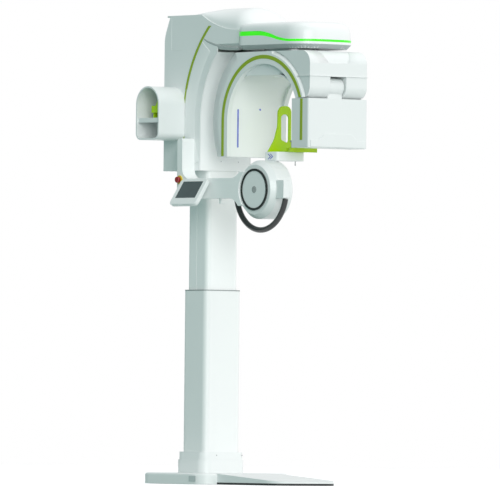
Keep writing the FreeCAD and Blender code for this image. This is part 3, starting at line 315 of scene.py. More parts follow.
SLATE_GLASS = Finish("slate_screen_glass", (0.030, 0.056, 0.060), 0.22, Grain.POLISHED, coat=0.3, drift=0.18,
                     drift_scale=9.0, edge_radius=0.0006)
LIGHT_LENS = Finish("violet_light_lens", (0.17, 0.20, 0.58), 0.2, Grain.POLISHED, drift=0.12, drift_scale=40.0,
                    edge_radius=0.0005, glow=0.12)
STOP_RED = Finish("stop_red", (0.34, 0.004, 0.004), 0.2, Grain.MOULDED, coat=0.5, drift=0.04)
COLLAR_YELLOW = Finish("collar_yellow", (0.80, 0.60, 0.03), 0.4, Grain.MOULDED, drift=0.04)
MID_GREY = Finish("mid_grey_plastic", (0.33, 0.36, 0.36), 0.45, Grain.MOULDED, drift=0.06)
# Grey that is painted shade: it stands for the shade on the undercut strips and on the bevel round the cap's lower
# edge.
PAINTED_SHADE_GREY = Finish("painted_shade_grey_band", (0.42, 0.47, 0.465), 0.45, Grain.MOULDED, drift=0.03)
HEAD_WHITE = Finish("head_white_shell", (0.765, 0.795, 0.79), 0.36, Grain.ORANGE_PEEL, coat=0.12, drift=0.006)
# A lighter copy of the gloss white shell, as painted light on parts that sit in shade: the front cover, the arm,
# the chin block and the flare.
PAINTED_LIGHT_WHITE = Finish("white_shell_painted_light", (0.91, 0.93, 0.925), 0.36, Grain.ORANGE_PEEL, coat=0.15, drift=0.006)
PALE_GREY = Finish("pale_grey_plastic", (0.55, 0.60, 0.60), 0.4, Grain.MOULDED, drift=0.03)
NYLON = Finish("dry_nylon", (0.70, 0.68, 0.60), 0.6, Grain.MOULDED, drift=0.05)
MARK_BLUE = Finish("marker_blue", (0.06, 0.09, 0.50), 0.4, Grain.POLISHED, drift=0.05, edge_radius=0.0003)


def rounded_outline(corners: list[tuple[float, float, float]], steps: int = 6) -> list[Flat]:
    """Outline of a polygon with rounded corners.

    Args:
        corners: For each corner its two coordinates and its radius.
        steps: Points along each rounding.

    Returns:
        The outline's points.
    """
    outline: list[Flat] = []
    for index, (u, v, radius) in enumerate(corners):
        here = Vector((u, v))
        if radius <= 0:
            outline.append((u, v))
            continue
        back = (Vector(corners[index - 1][:2]) - here).normalized()
        ahead = (Vector(corners[(index + 1) % len(corners)][:2]) - here).normalized()
        reach = radius / math.tan(back.angle(ahead) / 2)
        centre = here + (back + ahead).normalized() * (radius / math.sin(back.angle(ahead) / 2))
        start = here + back * reach - centre
        end = here + ahead * reach - centre
        turn = start.angle_signed(end)
        for step in range(steps + 1):
            point = centre + Matrix.Rotation(-turn * step / steps, 2) @ start
            outline.append((point.x, point.y))
    return outline


def arc(centre: Flat, radius: float, start: float, end: float, count: int = 24) -> list[Flat]:
    """Points along a circle.

    Args:
        centre: Centre of the circle.
        radius: Its radius.
        start: Angle of the first point in degrees.
        end: Angle of the last point in degrees.
        count: Number of gaps between the points.

    Returns:
        The points, both ends included.
    """
    angles = (math.radians(start + (end - start) * step / count) for step in range(count + 1))
    return [(centre[0] + radius * math.cos(a), centre[1] + radius * math.sin(a)) for a in angles]


def height_angle(radius: float, rise: float) -> float:
    """Angle in degrees at which a circle of a radius reaches a rise above its centre."""
    return math.degrees(math.asin(rise / radius))


def placed(axis: Axis, level: float, point: Flat) -> Vector:
    """Point of a plane across an axis, in the frame.

    Args:
        axis: The axis that the plane is square to.
        level: Where the plane crosses it.
        point: The two other coordinates, in the order of the axes.

    Returns:
        The point.
    """
    along, first, second = axis.value
    result = Vector((0.0, 0.0, 0.0))
    result[along], result[first], result[second] = level, point[0], point[1]
    return result


def mesh_piece(name: str, shape: bmesh.types.BMesh, sharp: float = 32.0) -> bpy.types.Object:
    """Turn a finished bmesh into an object with smooth shading and crisp edges.

    Args:
        name: Name of the piece.
        shape: The mesh, which is freed.
        sharp: Angle in degrees above which an edge stays crisp.

    Returns:
        The object, linked to the scene.
    """
    bmesh.ops.recalc_face_normals(shape, faces=shape.faces)
    mesh = bpy.data.meshes.new(name)
    shape.to_mesh(mesh)
    shape.free()
    mesh.shade_smooth()
    mesh.set_sharp_from_angle(angle=math.radians(sharp))
    piece = bpy.data.objects.new(name, mesh)
    bpy.context.scene.collection.objects.link(piece)
    return piece


def add_prism(shape: bmesh.types.BMesh, outline: list[Flat], axis: Axis, low: float, high: float) -> None:
    """Add a closed prism to a mesh.

    Args:
        shape: The mesh.
        outline: Its outline across the axis.
        axis: The direction it is pulled along.
        low: Where it starts.
        high: Where it ends.
    """
    first = [shape.verts.new(placed(axis, low, point)) for point in outline]
    last = [shape.verts.new(placed(axis, high, point)) for point in outline]
    shape.faces.new(first)
    shape.faces.new(reversed(last))
    for index in range(len(outline)):
        after = (index + 1) % len(outline)
        shape.faces.new((first[index], last[index], last[after], first[after]))


def prism(name: str, outlines: list[list[Flat]], axis: Axis, low: float, high: float,
          edge: float = 0.0) -> bpy.types.Object:
    """Solid piece of one or more outlines, with softened edges.

    Args:
        name: Name of the piece.
        outlines: Outlines across the axis, apart from each other.
        axis: The direction they are pulled along.
        low: Where the piece starts.
        high: Where it ends.
        edge: Width of the softened edges.

    Returns:
        The piece.
    """
    shape = bmesh.new()
    for outline in outlines:
        add_prism(shape, outline, axis, low, high)
    piece = mesh_piece(name, shape)
    if edge:
        soften(piece, edge)
    return piece


def soften(piece: bpy.types.Object, width: float, segments: int = 3, angle: float = 32.0) -> None:
    """Round a piece's crisp edges.

    Args:
        piece: The piece.
        width: Width of the rounding.
        segments: Faces across it.
        angle: Edges sharper than this many degrees are rounded.
    """
    rounding = piece.modifiers.new("soft_edges", "BEVEL")
    rounding.width = width
    rounding.segments = segments
    rounding.limit_method = "ANGLE"
    rounding.angle_limit = math.radians(angle)
    rounding.harden_normals = True


def turned(name: str, profile: list[Flat], centre: Vector, axis: Axis, facing: float = 1.0,
           steps: int = 48) -> bpy.types.Object:
    """Piece turned round an axis.

    Args:
        name: Name of the piece.
        profile: Radius and height of each ring, from the middle of the back to the middle of the front.
        centre: Point of the axis at height nought.
        axis: Direction of the axis.
        facing: One or minus one, the way that heights go along it.
        steps: Points round each ring.

    Returns:
        The piece.
    """
    shape = bmesh.new()
    add_turned(shape, profile, centre, axis, facing, steps)
    return mesh_piece(name, shape)


def add_turned(shape: bmesh.types.BMesh, profile: list[Flat], centre: Vector, axis: Axis, facing: float,
               steps: int) -> None:
    """Add a turned solid to a mesh.

    Args:
        shape: The mesh.
        profile: Radius and height of each ring, from the middle of the back to the middle of the front.
        centre: Point of the axis at height nought.
        axis: Direction of the axis.
        facing: One or minus one, the way that heights go along it.
        steps: Points round each ring.
    """
    along, first, second = axis.value
    rings = []
    for radius, height in profile:
        ring = []
        for step in range(steps if radius > 1e-7 else 1):
            angle = 2 * math.pi * step / steps
            point = centre.copy()
            point[along] += facing * height
            point[first] += radius * math.cos(angle)
            point[second] += radius * math.sin(angle)
            ring.append(shape.verts.new(point))
        rings.append(ring)
    for lower, upper in zip(rings, rings[1:]):
        for step in range(steps):
            corners = [lower[step % len(lower)], lower[(step + 1) % len(lower)], upper[(step + 1) % len(upper)],
                       upper[step % len(upper)]]
            unique = list(dict.fromkeys(corners))
            if len(unique) > 2:
                shape.faces.new(unique)


def sector(name: str, section: list[Flat], centre: Flat, start: float, end: float,
           steps: int = 72) -> bpy.types.Object:
    """Piece whose section is swept round an axis along Y.

    Args:
        name: Name of the piece.
        section: Radius and Y of each corner of the closed section.
        centre: X and Z of the axis.
        start: Angle of the first end in degrees, from +X towards +Z.
        end: Angle of the last end.
        steps: Number of gaps along the sweep.

    Returns:
        The piece.
    """
    shape = bmesh.new()
    rings = []
    for step in range(steps + 1):
        angle = math.radians(start + (end - start) * step / steps)
        rings.append([shape.verts.new((centre[0] + radius * math.cos(angle), y,
                                       centre[1] + radius * math.sin(angle))) for radius, y in section])
    join_rings(shape, rings)
    return mesh_piece(name, shape)


def join_rings(shape: bmesh.types.BMesh, rings: list[list[bmesh.types.BMVert]]) -> None:
    """Skin a row of closed rings of the same count, with a face at each end.

    Args:
        shape: The mesh.
        rings: The rings in order.
    """
    count = len(rings[0])
    for lower, upper in zip(rings, rings[1:]):
        for index in range(count):
            after = (index + 1) % count
            shape.faces.new((lower[index], lower[after], upper[after], upper[index]))
    shape.faces.new(rings[0])
    shape.faces.new(reversed(rings[-1]))


def loft(name: str, rings: list[list[Point]], sharp: float = 32.0) -> bpy.types.Object:
    """Piece skinned over closed rings of points.

    Args:
        name: Name of the piece.
        rings: Rings of the same count, in order.
        sharp: Angle in degrees above which an edge stays crisp.

    Returns:
        The piece.
    """
    shape = bmesh.new()
    join_rings(shape, [[shape.verts.new(point) for point in ring] for ring in rings])
    return mesh_piece(name, shape, sharp)


def wrapped(name: str, loops: list[list[Point]], sharp: float = 32.0) -> bpy.types.Object:
    """Closed ring-shaped piece whose section is one point of each loop.

    Args:
        name: Name of the piece.
        loops: Closed loops of the same count, in order round the section.
        sharp: Angle in degrees above which an edge stays crisp.

    Returns:
        The piece.
    """
    shape = bmesh.new()
    grid = [[shape.verts.new(point) for point in loop] for loop in loops]
    count = len(grid[0])
    for index, lower in enumerate(grid):
        upper = grid[(index + 1) % len(grid)]
        for place in range(count):
            after = (place + 1) % count
            shape.faces.new((lower[place], lower[after], upper[after], upper[place]))
    return mesh_piece(name, shape, sharp)


def eased(value: float, low: float, high: float) -> float:
    """Smooth step between two bounds.

    Args:
        value: Where the step is read.
        low: Where it starts to rise from nought.
        high: Where it reaches one.

    Returns:
        A share from nought to one.
    """
    share = min(1.0, max(0.0, (value - low) / (high - low)))
    return share * share * (3.0 - 2.0 * share)


def screw_set(name: str, places: list[Point], axis: Axis, facing: float, radius: float) -> bpy.types.Object:
    """Button-head screws with a hexagon socket, all facing one way.

    Args:
        name: Name of the piece.
        places: Points of the surface that the heads sit on.
        axis: Direction that the screws point along.
        facing: One or minus one, the way that the heads face.
        radius: Radius of a head.

    Returns:
        One piece with every screw.
    """
    shape = bmesh.new()
    dome = radius * 0.42
    socket = radius * 0.5
    profile = [(0.0, -0.4 * MM), (radius, -0.4 * MM), (radius, dome * 0.3), (radius * 0.86, dome * 0.8),
               (socket * 1.15, dome), (socket, dome * 0.92), (socket * 0.98, dome * 0.25), (0.0, dome * 0.2)]
    for place in places:
        add_turned(shape, profile, Vector(place), axis, facing, 18)
    return mesh_piece(name, shape)


@dataclass
class Assembly:
    """A group of pieces that move with one body of the frame."""

    body: Body

    def dress(self, finish: Finish, *nodes: str) -> None:
        """Give nodes of the frame a finish.

        Args:
            finish: The finish.
            *nodes: Names of the nodes.
        """
        for node in nodes:
            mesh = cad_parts[node].data
            mesh.materials.clear()
            mesh.materials.append(finish.material())
            LOG.info("dressed %s in %s", node, finish.name)

    def fit(self, piece: bpy.types.Object, finish: Finish, slot: Slot) -> bpy.types.Object:
        """Finish a new piece and let it ride on the assembly's body.

        Args:
            piece: The piece.
            finish: Its finish.
            slot: The record's slot for the piece; not used.

        Returns:
            The piece.
        """
        piece.data.materials.clear()
        piece.data.materials.append(finish.material())
        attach(piece, self.body.value)
        LOG.info("fitted %s on %s", piece.name, self.body.value)
        return piece

    def carve(self, node: str, cutter: bpy.types.Object) -> None:
        """Cut a hidden shape out of a node of the frame.

        Args:
            node: Name of the node.
            cutter: The shape to take away, which rides with the body and isn't shown.
        """
        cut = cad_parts[node].modifiers.new(cutter.name, "BOOLEAN")
        cut.object = cutter
        cut.operation = "DIFFERENCE"
        cut.solver = "EXACT"
        cutter.hide_render = True
        cutter.display_type = "WIRE"
        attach(cutter, self.body.value)
        LOG.info("carved %s with %s", node, cutter.name)

    def build(self) -> None:
        """Make and dress the assembly's pieces."""
        raise NotImplementedError


@dataclass
class FloorBase(Assembly):
    """Floor plate, its covers and the column's foot."""

    screw_radius: float = 3.2 * MM
    band_screw_spots: tuple[float, float] = (-0.054, 0.106)
    band_screw_height: float = 0.141

    def build(self) -> None:
        """Dress the base and add its screws."""
        self.dress(PLATE_BLACK, "floor_plate")
        self.dress(GLOSS_WHITE, "base_cover", "column_foot_skirt", "column_foot_band")
        self.dress(PALE_GREY, "base_access_cover")
        self.dress(MID_GREY, "power_inlet")
        self.dress(STEEL, "lift_tube")
        self.dress(NYLON, "glide_pads")
        self.fit_screws()

    def fit_screws(self) -> None:
        """Small screws of the foot band."""
        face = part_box("column_foot_band")[1].x
        places = [(face, y, self.band_screw_height) for y in self.band_screw_spots]
        self.fit(screw_set("foot_band_screws", places, Axis.X, 1.0, self.screw_radius), STEEL, Slot.STEEL)


@dataclass
class Column(Assembly):
    """Lower column with its trim."""

    def build(self) -> None:
        """Dress the lower column."""
        self.dress(SATIN_WHITE, "lower_column")
        self.dress(MID_GREY, "column_top_trim")


@dataclass
class Carriage(Assembly):
    """Upper column and the tall housing that carries the boom."""

    axis: Flat = (0.600, 1.770)
    side: float = 0.160
    band_reach: tuple[float, float] = (0.555, 0.631)
    band_rise: tuple[float, float] = (-0.222, 0.386)
    band_proud: float = 2.6 * MM
    seam_x: float = -0.143
    seam_z: float = 2.123
    seam_top: float = 2.280
    seam_end: float = -0.052
    seam_half: float = 1.0 * MM
    dome_half: float = 0.155
    dome_reach: tuple[float, float] = (-0.006, 0.505)
    dome_crest: float = 2.325
    roof: float = 2.292
    slope_radius: float = 0.566
    slope_start: float = 0.092
    slope_foot: float = 2.212
    cap_rear: float = 0.382
    cap_roof: float = 2.242
    dome_rise_run: float = 0.16
    dome_fall_run: float = 0.062
    dome_taper: float = 0.045
    dome_nose: float = 0.05
    dome_skirt: float = 5.0 * MM
    dome_steps: tuple[int, int] = (44, 20)
    stripe_radius: float = 0.643
    stripe_half: float = 4.6 * MM
    stripe_rise: tuple[float, float] = (-0.090, 0.157)
    screw_height: float = 1.573
    screw_spots: tuple[float, float, float] = (-0.128, -0.02, 0.128)
    screw_radius: float = 2.6 * MM
    groove: tuple[float, float] = (-0.0060, -0.0025)
    undercut: tuple[tuple[float, float, float], ...] = (
        (0.116, 2.1740, 2.1735), (0.130, 2.168, 2.152), (0.150, 2.161, 2.140), (0.172, 2.155, 2.131),
        (0.196, 2.149, 2.1245), (0.222, 2.1425, 2.1195), (0.250, 2.137, 2.1165), (0.290, 2.132, 2.1140),
        (0.335, 2.128, 2.1125), (0.381, 2.1245, 2.1122))

    def build(self) -> None:
        """Dress the carriage and add its raised parts."""
        self.dress(COLUMN_WHITE, "upper_column")
        self.dress(STEEL, "lift_rod", "bearing_ring", "boom_beam", "carriage_cover_screws")
        self.dress(GLOSS_WHITE, "carriage_side_near", "carriage_side_far", "carriage_rear_cover",
                   "neck_cover")
        # The front cover is painted lighter than the other shells, as painted light in the shade of the arch.
        self.dress(PAINTED_LIGHT_WHITE, "carriage_front_cover")
        self.dress(OLIVE, "carriage_accents")
        self.dress(RUBBER, "drive_belt")
        self.dress(CAST_ALUMINIUM, "drive_motor")
        for side in Side:
            self.raise_band(side)
            self.line_seams(side)
            self.paint_undercut_shade(side)
        self.crown_roof()
        self.close_roof()
        self.join_stripe()
        self.groove_mast()
        self.fit_cover_screws()

    def raise_band(self, side: Side) -> None:
        """Raised curved band beside the stripe, with a chamfered inner edge.

        Args:
            side: The side that it lies on.
        """
        inner, outer = self.band_reach
        face, front = side.outward(self.side - 0.4 * MM), side.outward(self.side + self.band_proud)
        section = [(outer, face), (outer, front), (inner + 5.0 * MM, front), (inner, face)]
        low, high = (180.0 - height_angle(outer, rise) for rise in self.band_rise)
        self.fit(sector("curved_band_" + side.label, section, self.axis, low, high), GLOSS_WHITE, Slot.SHELL)

    def line_seams(self, side: Side) -> None:
        """Rounded bead along the joint of the rear corner panel.

        Args:
            side: The side that it lies on.
        """
        half = self.seam_half
        loop = [(self.seam_x - half, self.seam_z - half), (self.seam_end, self.seam_z - half),
                (self.seam_end, self.seam_z + half), (self.seam_x + half, self.seam_z + half),
                (self.seam_x + half, self.seam_top), (self.seam_x - half, self.seam_top)]
        low, high = sorted((side.outward(self.side - 0.5 * MM), side.outward(self.side + 0.9 * MM)))
        bead = prism("corner_seam_" + side.label, [loop], Axis.Y, low, high, 0.5 * MM)
        self.fit(bead, GLOSS_WHITE, Slot.SHELL)

    def paint_undercut_shade(self, side: Side) -> None:
        """Slanted strip in a grey that is painted shade, where the side turns under towards the boom.

        Args:
            side: The side that it lies on.
        """
        face, out = side.outward(self.side), side.outward(self.side + 3.4 * MM)
        low_out, back = side.outward(self.side - 5.0 * MM), side.outward(self.side - 9.0 * MM)
        rings = [[(x, back, top), (x, face, top + 0.4 * MM), (x, out, top - 2.0 * MM), (x, low_out, low),
                  (x, back, low)] for x, top, low in self.undercut]
        self.fit(loft("undercut_" + side.label, rings), PAINTED_SHADE_GREY, Slot.SHELL)

    def edge_height(self, x: float) -> float:
        """Height of the roof's side crease.

        Args:
            x: Distance along the boom.

        Returns:
            The crease's height.
        """
        if x <= self.slope_start:
            return self.roof
        run = max(self.cap_rear - x, 0.0)
        return self.slope_foot + self.slope_radius - math.sqrt(self.slope_radius ** 2 - run ** 2) + 0.5 * MM

    def crown_roof(self) -> None:
        """Crowned roof that rises over the carriage and flows down onto the cap."""
        start, end = self.dome_reach
        rings = []
        along, across = self.dome_steps
        for step in range(along + 1):
            x = start + (end - start) * step / along
            edge = self.edge_height(x)
            rise = eased(x, start - 2.0 * MM, start + self.dome_rise_run)
            fall = eased(x, self.cap_rear - self.dome_fall_run, end + 4.0 * MM)
            crest = edge + (self.dome_crest - edge) * rise
            crest += (self.cap_roof - 1.0 * MM - crest) * fall
            half = self.dome_half - self.dome_taper * eased(x, self.cap_rear - 0.03, end)
            if x < start + self.dome_nose:
                half -= self.dome_nose * (1.0 - eased(x, start - 0.02, start + self.dome_nose))
            ring = [(x, half * math.cos(math.pi * turn / across),
                     edge + max(0.0, crest - edge) * math.sin(math.pi * turn / across) ** 0.85)
                    for turn in range(across + 1)]
            ring += [(x, -half, edge - self.dome_skirt), (x, half, edge - self.dome_skirt)]
            rings.append(ring)
        roof = loft("crowned_roof", rings, 40.0)
        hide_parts("top_dome")
        self.fit(roof, GLOSS_WHITE, Slot.SHELL)

    def close_roof(self) -> None:
        """Flat lid behind the crowned roof."""
        half, back = self.side - 4.0 * MM, self.seam_x - 50.0 * MM
        plan = rounded_outline([(back, -half, 0.02), (self.slope_start, -half, 0.0), (self.slope_start, half, 0.0),
                                (back, half, 0.02)])
        lid = prism("roof_lid", [plan], Axis.Z, self.roof - 8.0 * MM, self.roof + 0.6 * MM, 0.5 * MM)
        self.fit(lid, GLOSS_WHITE, Slot.SHELL)

    def join_stripe(self) -> None:
        """Stretch of the near stripe that shows between the pod and the arm."""
        stripe, half = self.stripe_radius, self.stripe_half
        face, front = -self.side + 0.4 * MM, -self.side - 1.5 * MM
        section = [(stripe + half, face), (stripe + half, front), (stripe - half, front), (stripe - half, face)]
        low, high = (180.0 - height_angle(stripe, rise) for rise in self.stripe_rise)
        self.fit(sector("stripe_join", section, self.axis, low, high), OLIVE, Slot.OLIVE)

    def groove_mast(self) -> None:
        """Narrow groove down both sides of the upper column."""
        low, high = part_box("upper_column")
        left, right = self.groove
        loop = [(left, low.z + 10 * MM), (right, low.z + 10 * MM), (right, high.z - 0.7), (left, high.z - 0.7)]
        shape = bmesh.new()
        add_prism(shape, loop, Axis.Y, low.y - 1.0 * MM, low.y + 1.6 * MM)
        add_prism(shape, loop, Axis.Y, high.y - 1.6 * MM, high.y + 1.0 * MM)
        self.carve("upper_column", mesh_piece("mast_groove_cutter", shape))

    def fit_cover_screws(self) -> None:
        """Small screws along the foot of the front cover."""
        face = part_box("carriage_front_cover")[1].x
        places = [(face, y, self.screw_height) for y in self.screw_spots]
        self.fit(screw_set("front_cover_screws", places, Axis.X, 1.0, self.screw_radius), STEEL, Slot.STEEL)


@dataclass
class BoomCap(Assembly):
    """Cap over the arch's turning gear, with its lit band."""

    corner_rear: float = 0.060
    corner_front: float = 0.120
    band_top: tuple[float, float] = (2.200, 2.1555)
    fall: tuple[float, float] = (0.545, 0.815)
    roof: float = 2.242
    corner_steps: int = 10
    side_steps: int = 12
    smallest_corners: tuple[float, float] = (0.02, 0.03)
    shell_stages: tuple[Flat, ...] = (
        (0.0, -0.03), (0.0, 0.0), (0.8, 0.2), (2.4, 0.42), (6.0, 0.62), (12.0, 0.78), (21.0, 0.885),
        (33.0, 0.95), (50.0, 0.985), (75.0, 0.998), (120.0, 1.0))
    shade_band_section: tuple[Flat, ...] = ((24.0, 0.4), (20.4, -0.6), (-0.6, 20.2), (0.6, 22.4), (3.0, 22.4))

    def build(self) -> None:
        """Dress the cap and build its pillow-shaped upper shell."""
        self.dress(GLOSS_WHITE, "cap_lower")
        self.dress(LIT_GREEN, "light_band")
        self.mould_upper_shell()
        self.paint_lower_edge_shade()

    def paint_lower_edge_shade(self) -> None:
        """Band in a grey that is painted shade, round the slanted lower edge of the cap."""
        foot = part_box("cap_lower")[0].z
        loops = [[(x, y, foot + rise * MM) for x, y in self.outline(inset * MM, 1.0)]
                 for inset, rise in self.shade_band_section]
        self.fit(wrapped("cap_lower_edge_shade", loops), PAINTED_SHADE_GREY, Slot.SHELL)

    def outline(self, inset: float, tighten: float = 0.5) -> list[Flat]:
        """Plan of the cap, drawn in evenly.

        Args:
            inset: How far it is drawn in.
            tighten: Share of the inset that the corners' radius loses; one keeps the outlines parallel.

        Returns:
            The outline, with the same number of points at every inset.
        """
        low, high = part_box("light_band")
        rear = max(self.corner_rear - inset * tighten, self.smallest_corners[0])
        front = max(self.corner_front - inset * tighten, self.smallest_corners[1])
        corners = [(low.x + inset, low.y + inset, rear), (high.x - inset, low.y + inset, front),
                   (high.x - inset, high.y - inset, front), (low.x + inset, high.y - inset, rear)]
        bends = rounded_outline(corners, self.corner_steps)
        points: list[Flat] = []
        for index, (x, y) in enumerate(bends):
            points.append((x, y))
            if index % (self.corner_steps + 1) == self.corner_steps:
                next_x, next_y = bends[(index + 1) % len(bends)]
                points += [(x + (next_x - x) * part / self.side_steps, y + (next_y - y) * part / self.side_steps)
                           for part in range(1, self.side_steps)]
        return points

    def seat_height(self, x: float) -> float:
        """Height of the light band's upper line, which falls smoothly towards the front.

        Args:
            x: Distance along the boom.

        Returns:
            The line's height.
        """
        start, end = self.fall
        share = min(1.0, max(0.0, (x - start) / (end - start)))
        drop = 2 * share * share if share < 0.5 else 1 - 2 * (1 - share) ** 2
        return self.band_top[0] + (self.band_top[1] - self.band_top[0]) * drop

    def mould_upper_shell(self) -> None:
        """Shell above the light band: leaning walls, a wide soft edge and a slightly crowned top."""
        rings = []
        for inset, share in self.shell_stages:
            ring = []
            for x, y in self.outline(inset * MM):
                seat = self.seat_height(x)
                ring.append((x, y, seat + (self.roof - seat) * share))
            rings.append(ring)
        shell = loft("pillow_cap_shell", rings, 50.0)
        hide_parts("cap_upper")
        self.fit(shell, GLOSS_WHITE, Slot.SHELL)


@dataclass
class Arch(Assembly):
    """Rotating arch with the tube and the stripes."""

    axis: Flat = (0.600, 1.770)
    side: float = 0.185
    rear_chamfer: tuple[float, float, float] = (0.336, 0.412, 0.0235)
    rear_span: tuple[float, float] = (64.0, 212.0)
    front_chamfer: tuple[float, float, float] = (0.322, 0.345, 0.0205)
    front_span: tuple[float, float] = (14.0, 78.0)
    split: float = 1.974
    recess_height: tuple[float, float] = (2.040, 2.110)
    recess_half: tuple[float, float] = (0.061, 0.104)
    recess_depth: float = 4.0 * MM
    recess_roof: float = 2.098
    recess_steps: int = 8
    recess_reach: float = 0.030
    shoulder: float = 0.070
    chamfer_steps: int = 96
    cutter_margin: float = 4.0 * MM
    joint_depth: float = 1.8 * MM
    joint_gap: float = 2.4 * MM

    def build(self) -> None:
        """Dress the arch and cut its chamfers, recess and joint."""
        self.dress(GLOSS_WHITE, "ring_plate_near", "ring_plate_far", "arch_outer_skin")
        self.dress(HEAD_WHITE, "arch_front_block")
        self.dress(INNER_WHITE, "arch_inner_skin")
        self.dress(OLIVE, "arch_stripes")
        self.dress(LIGHT_LENS, "arch_lights")
        self.dress(STEEL, "gantry_hub", "crown_frame")
        self.dress(CAST_ALUMINIUM, "xray_tube_head")
        for side in Side:
            self.chamfer_ring(side, "rear", self.rear_chamfer, self.rear_span)
            self.chamfer_ring(side, "front", self.front_chamfer, self.front_span)
        self.recess_front()
        self.split_front()

    def chamfer_ring(self, side: Side, place: str, reach: Point, span: tuple[float, float]) -> None:
        """Take a sloping band off the rim of a ring plate.

        Args:
            side: The side that the plate is on.
            place: Front or rear, for the cutter's name.
            reach: Radius where the slope starts, radius beyond the rim and the depth there.
            span: Angles of the slope's ends in degrees.
        """
        start, beyond, depth = reach
        clear = side.outward(self.side + self.cutter_margin)
        section = [(start, side.outward(self.side)), (start, clear), (beyond, clear),
                   (beyond, side.outward(self.side - depth))]
        name = f"ring_{place}_{side.label}_cutter"
        cutter = sector(name, section, self.axis, span[0], span[1], self.chamfer_steps)
        self.carve("ring_plate_" + side.label, cutter)

    def front_face(self, z: float) -> float:
        """Place of the front block's rounded face.

        Args:
            z: Height on the face.

        Returns:
            The face's distance along the boom.
        """
        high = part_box("arch_front_block")[1]
        above = z - (high.z - self.shoulder)
        inward = self.shoulder - math.sqrt(self.shoulder ** 2 - above ** 2) if above > 0 else 0.0
        return high.x - inward

    def recess_front(self) -> None:
        """Shallow trapezoid recess in the shoulder of the front block."""
        low, high = self.recess_height
        rings = []
        for step in range(self.recess_steps + 1):
            share = step / self.recess_steps
            z = low + (high - low) * share
            half = self.recess_half[0] + (self.recess_half[1] - self.recess_half[0]) * share
            face = self.front_face(min(z, self.recess_roof))
            back, out = face - self.recess_depth, face + self.recess_reach
            rings.append([(back, -half, z), (out, -half, z), (out, half, z), (back, half, z)])
        self.carve("arch_front_block", loft("shoulder_recess_cutter", rings))

    def split_front(self) -> None:
        """Joint line round the front block at the height of the hinge cheeks."""
        low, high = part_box("arch_front_block")
        depth, gap, beyond = self.joint_depth, self.joint_gap, self.cutter_margin
        shape = bmesh.new()
        runs = (((high.x - depth, low.y - beyond), (high.x + beyond, high.y + beyond)),
                ((low.x - beyond, low.y - beyond), (high.x - depth, low.y + depth)),
                ((low.x - beyond, high.y - depth), (high.x - depth, high.y + beyond)))
        for (x_low, y_low), (x_high, y_high) in runs:
            add_prism(shape, [(x_low, y_low), (x_high, y_low), (x_high, y_high), (x_low, y_high)], Axis.Z,
                      self.split, self.split + gap)
        self.carve("arch_front_block", mesh_piece("front_joint_cutter", shape))


@dataclass
class MotorShaft(Assembly):
    """Small pulley of the turning gear."""

    def build(self) -> None:
        """Dress the pulley."""
        self.dress(STEEL, "drive_pulley")


@dataclass
class Detector(Assembly):
    """Detector head in front of the patient."""

    def build(self) -> None:
        """Dress the detector head."""
        self.dress(HEAD_WHITE, "detector_housing", "detector_neck", "detector_trim")
        self.dress(OLIVE, "detector_stripes")
        self.dress(MID_GREY, "detector_panel")


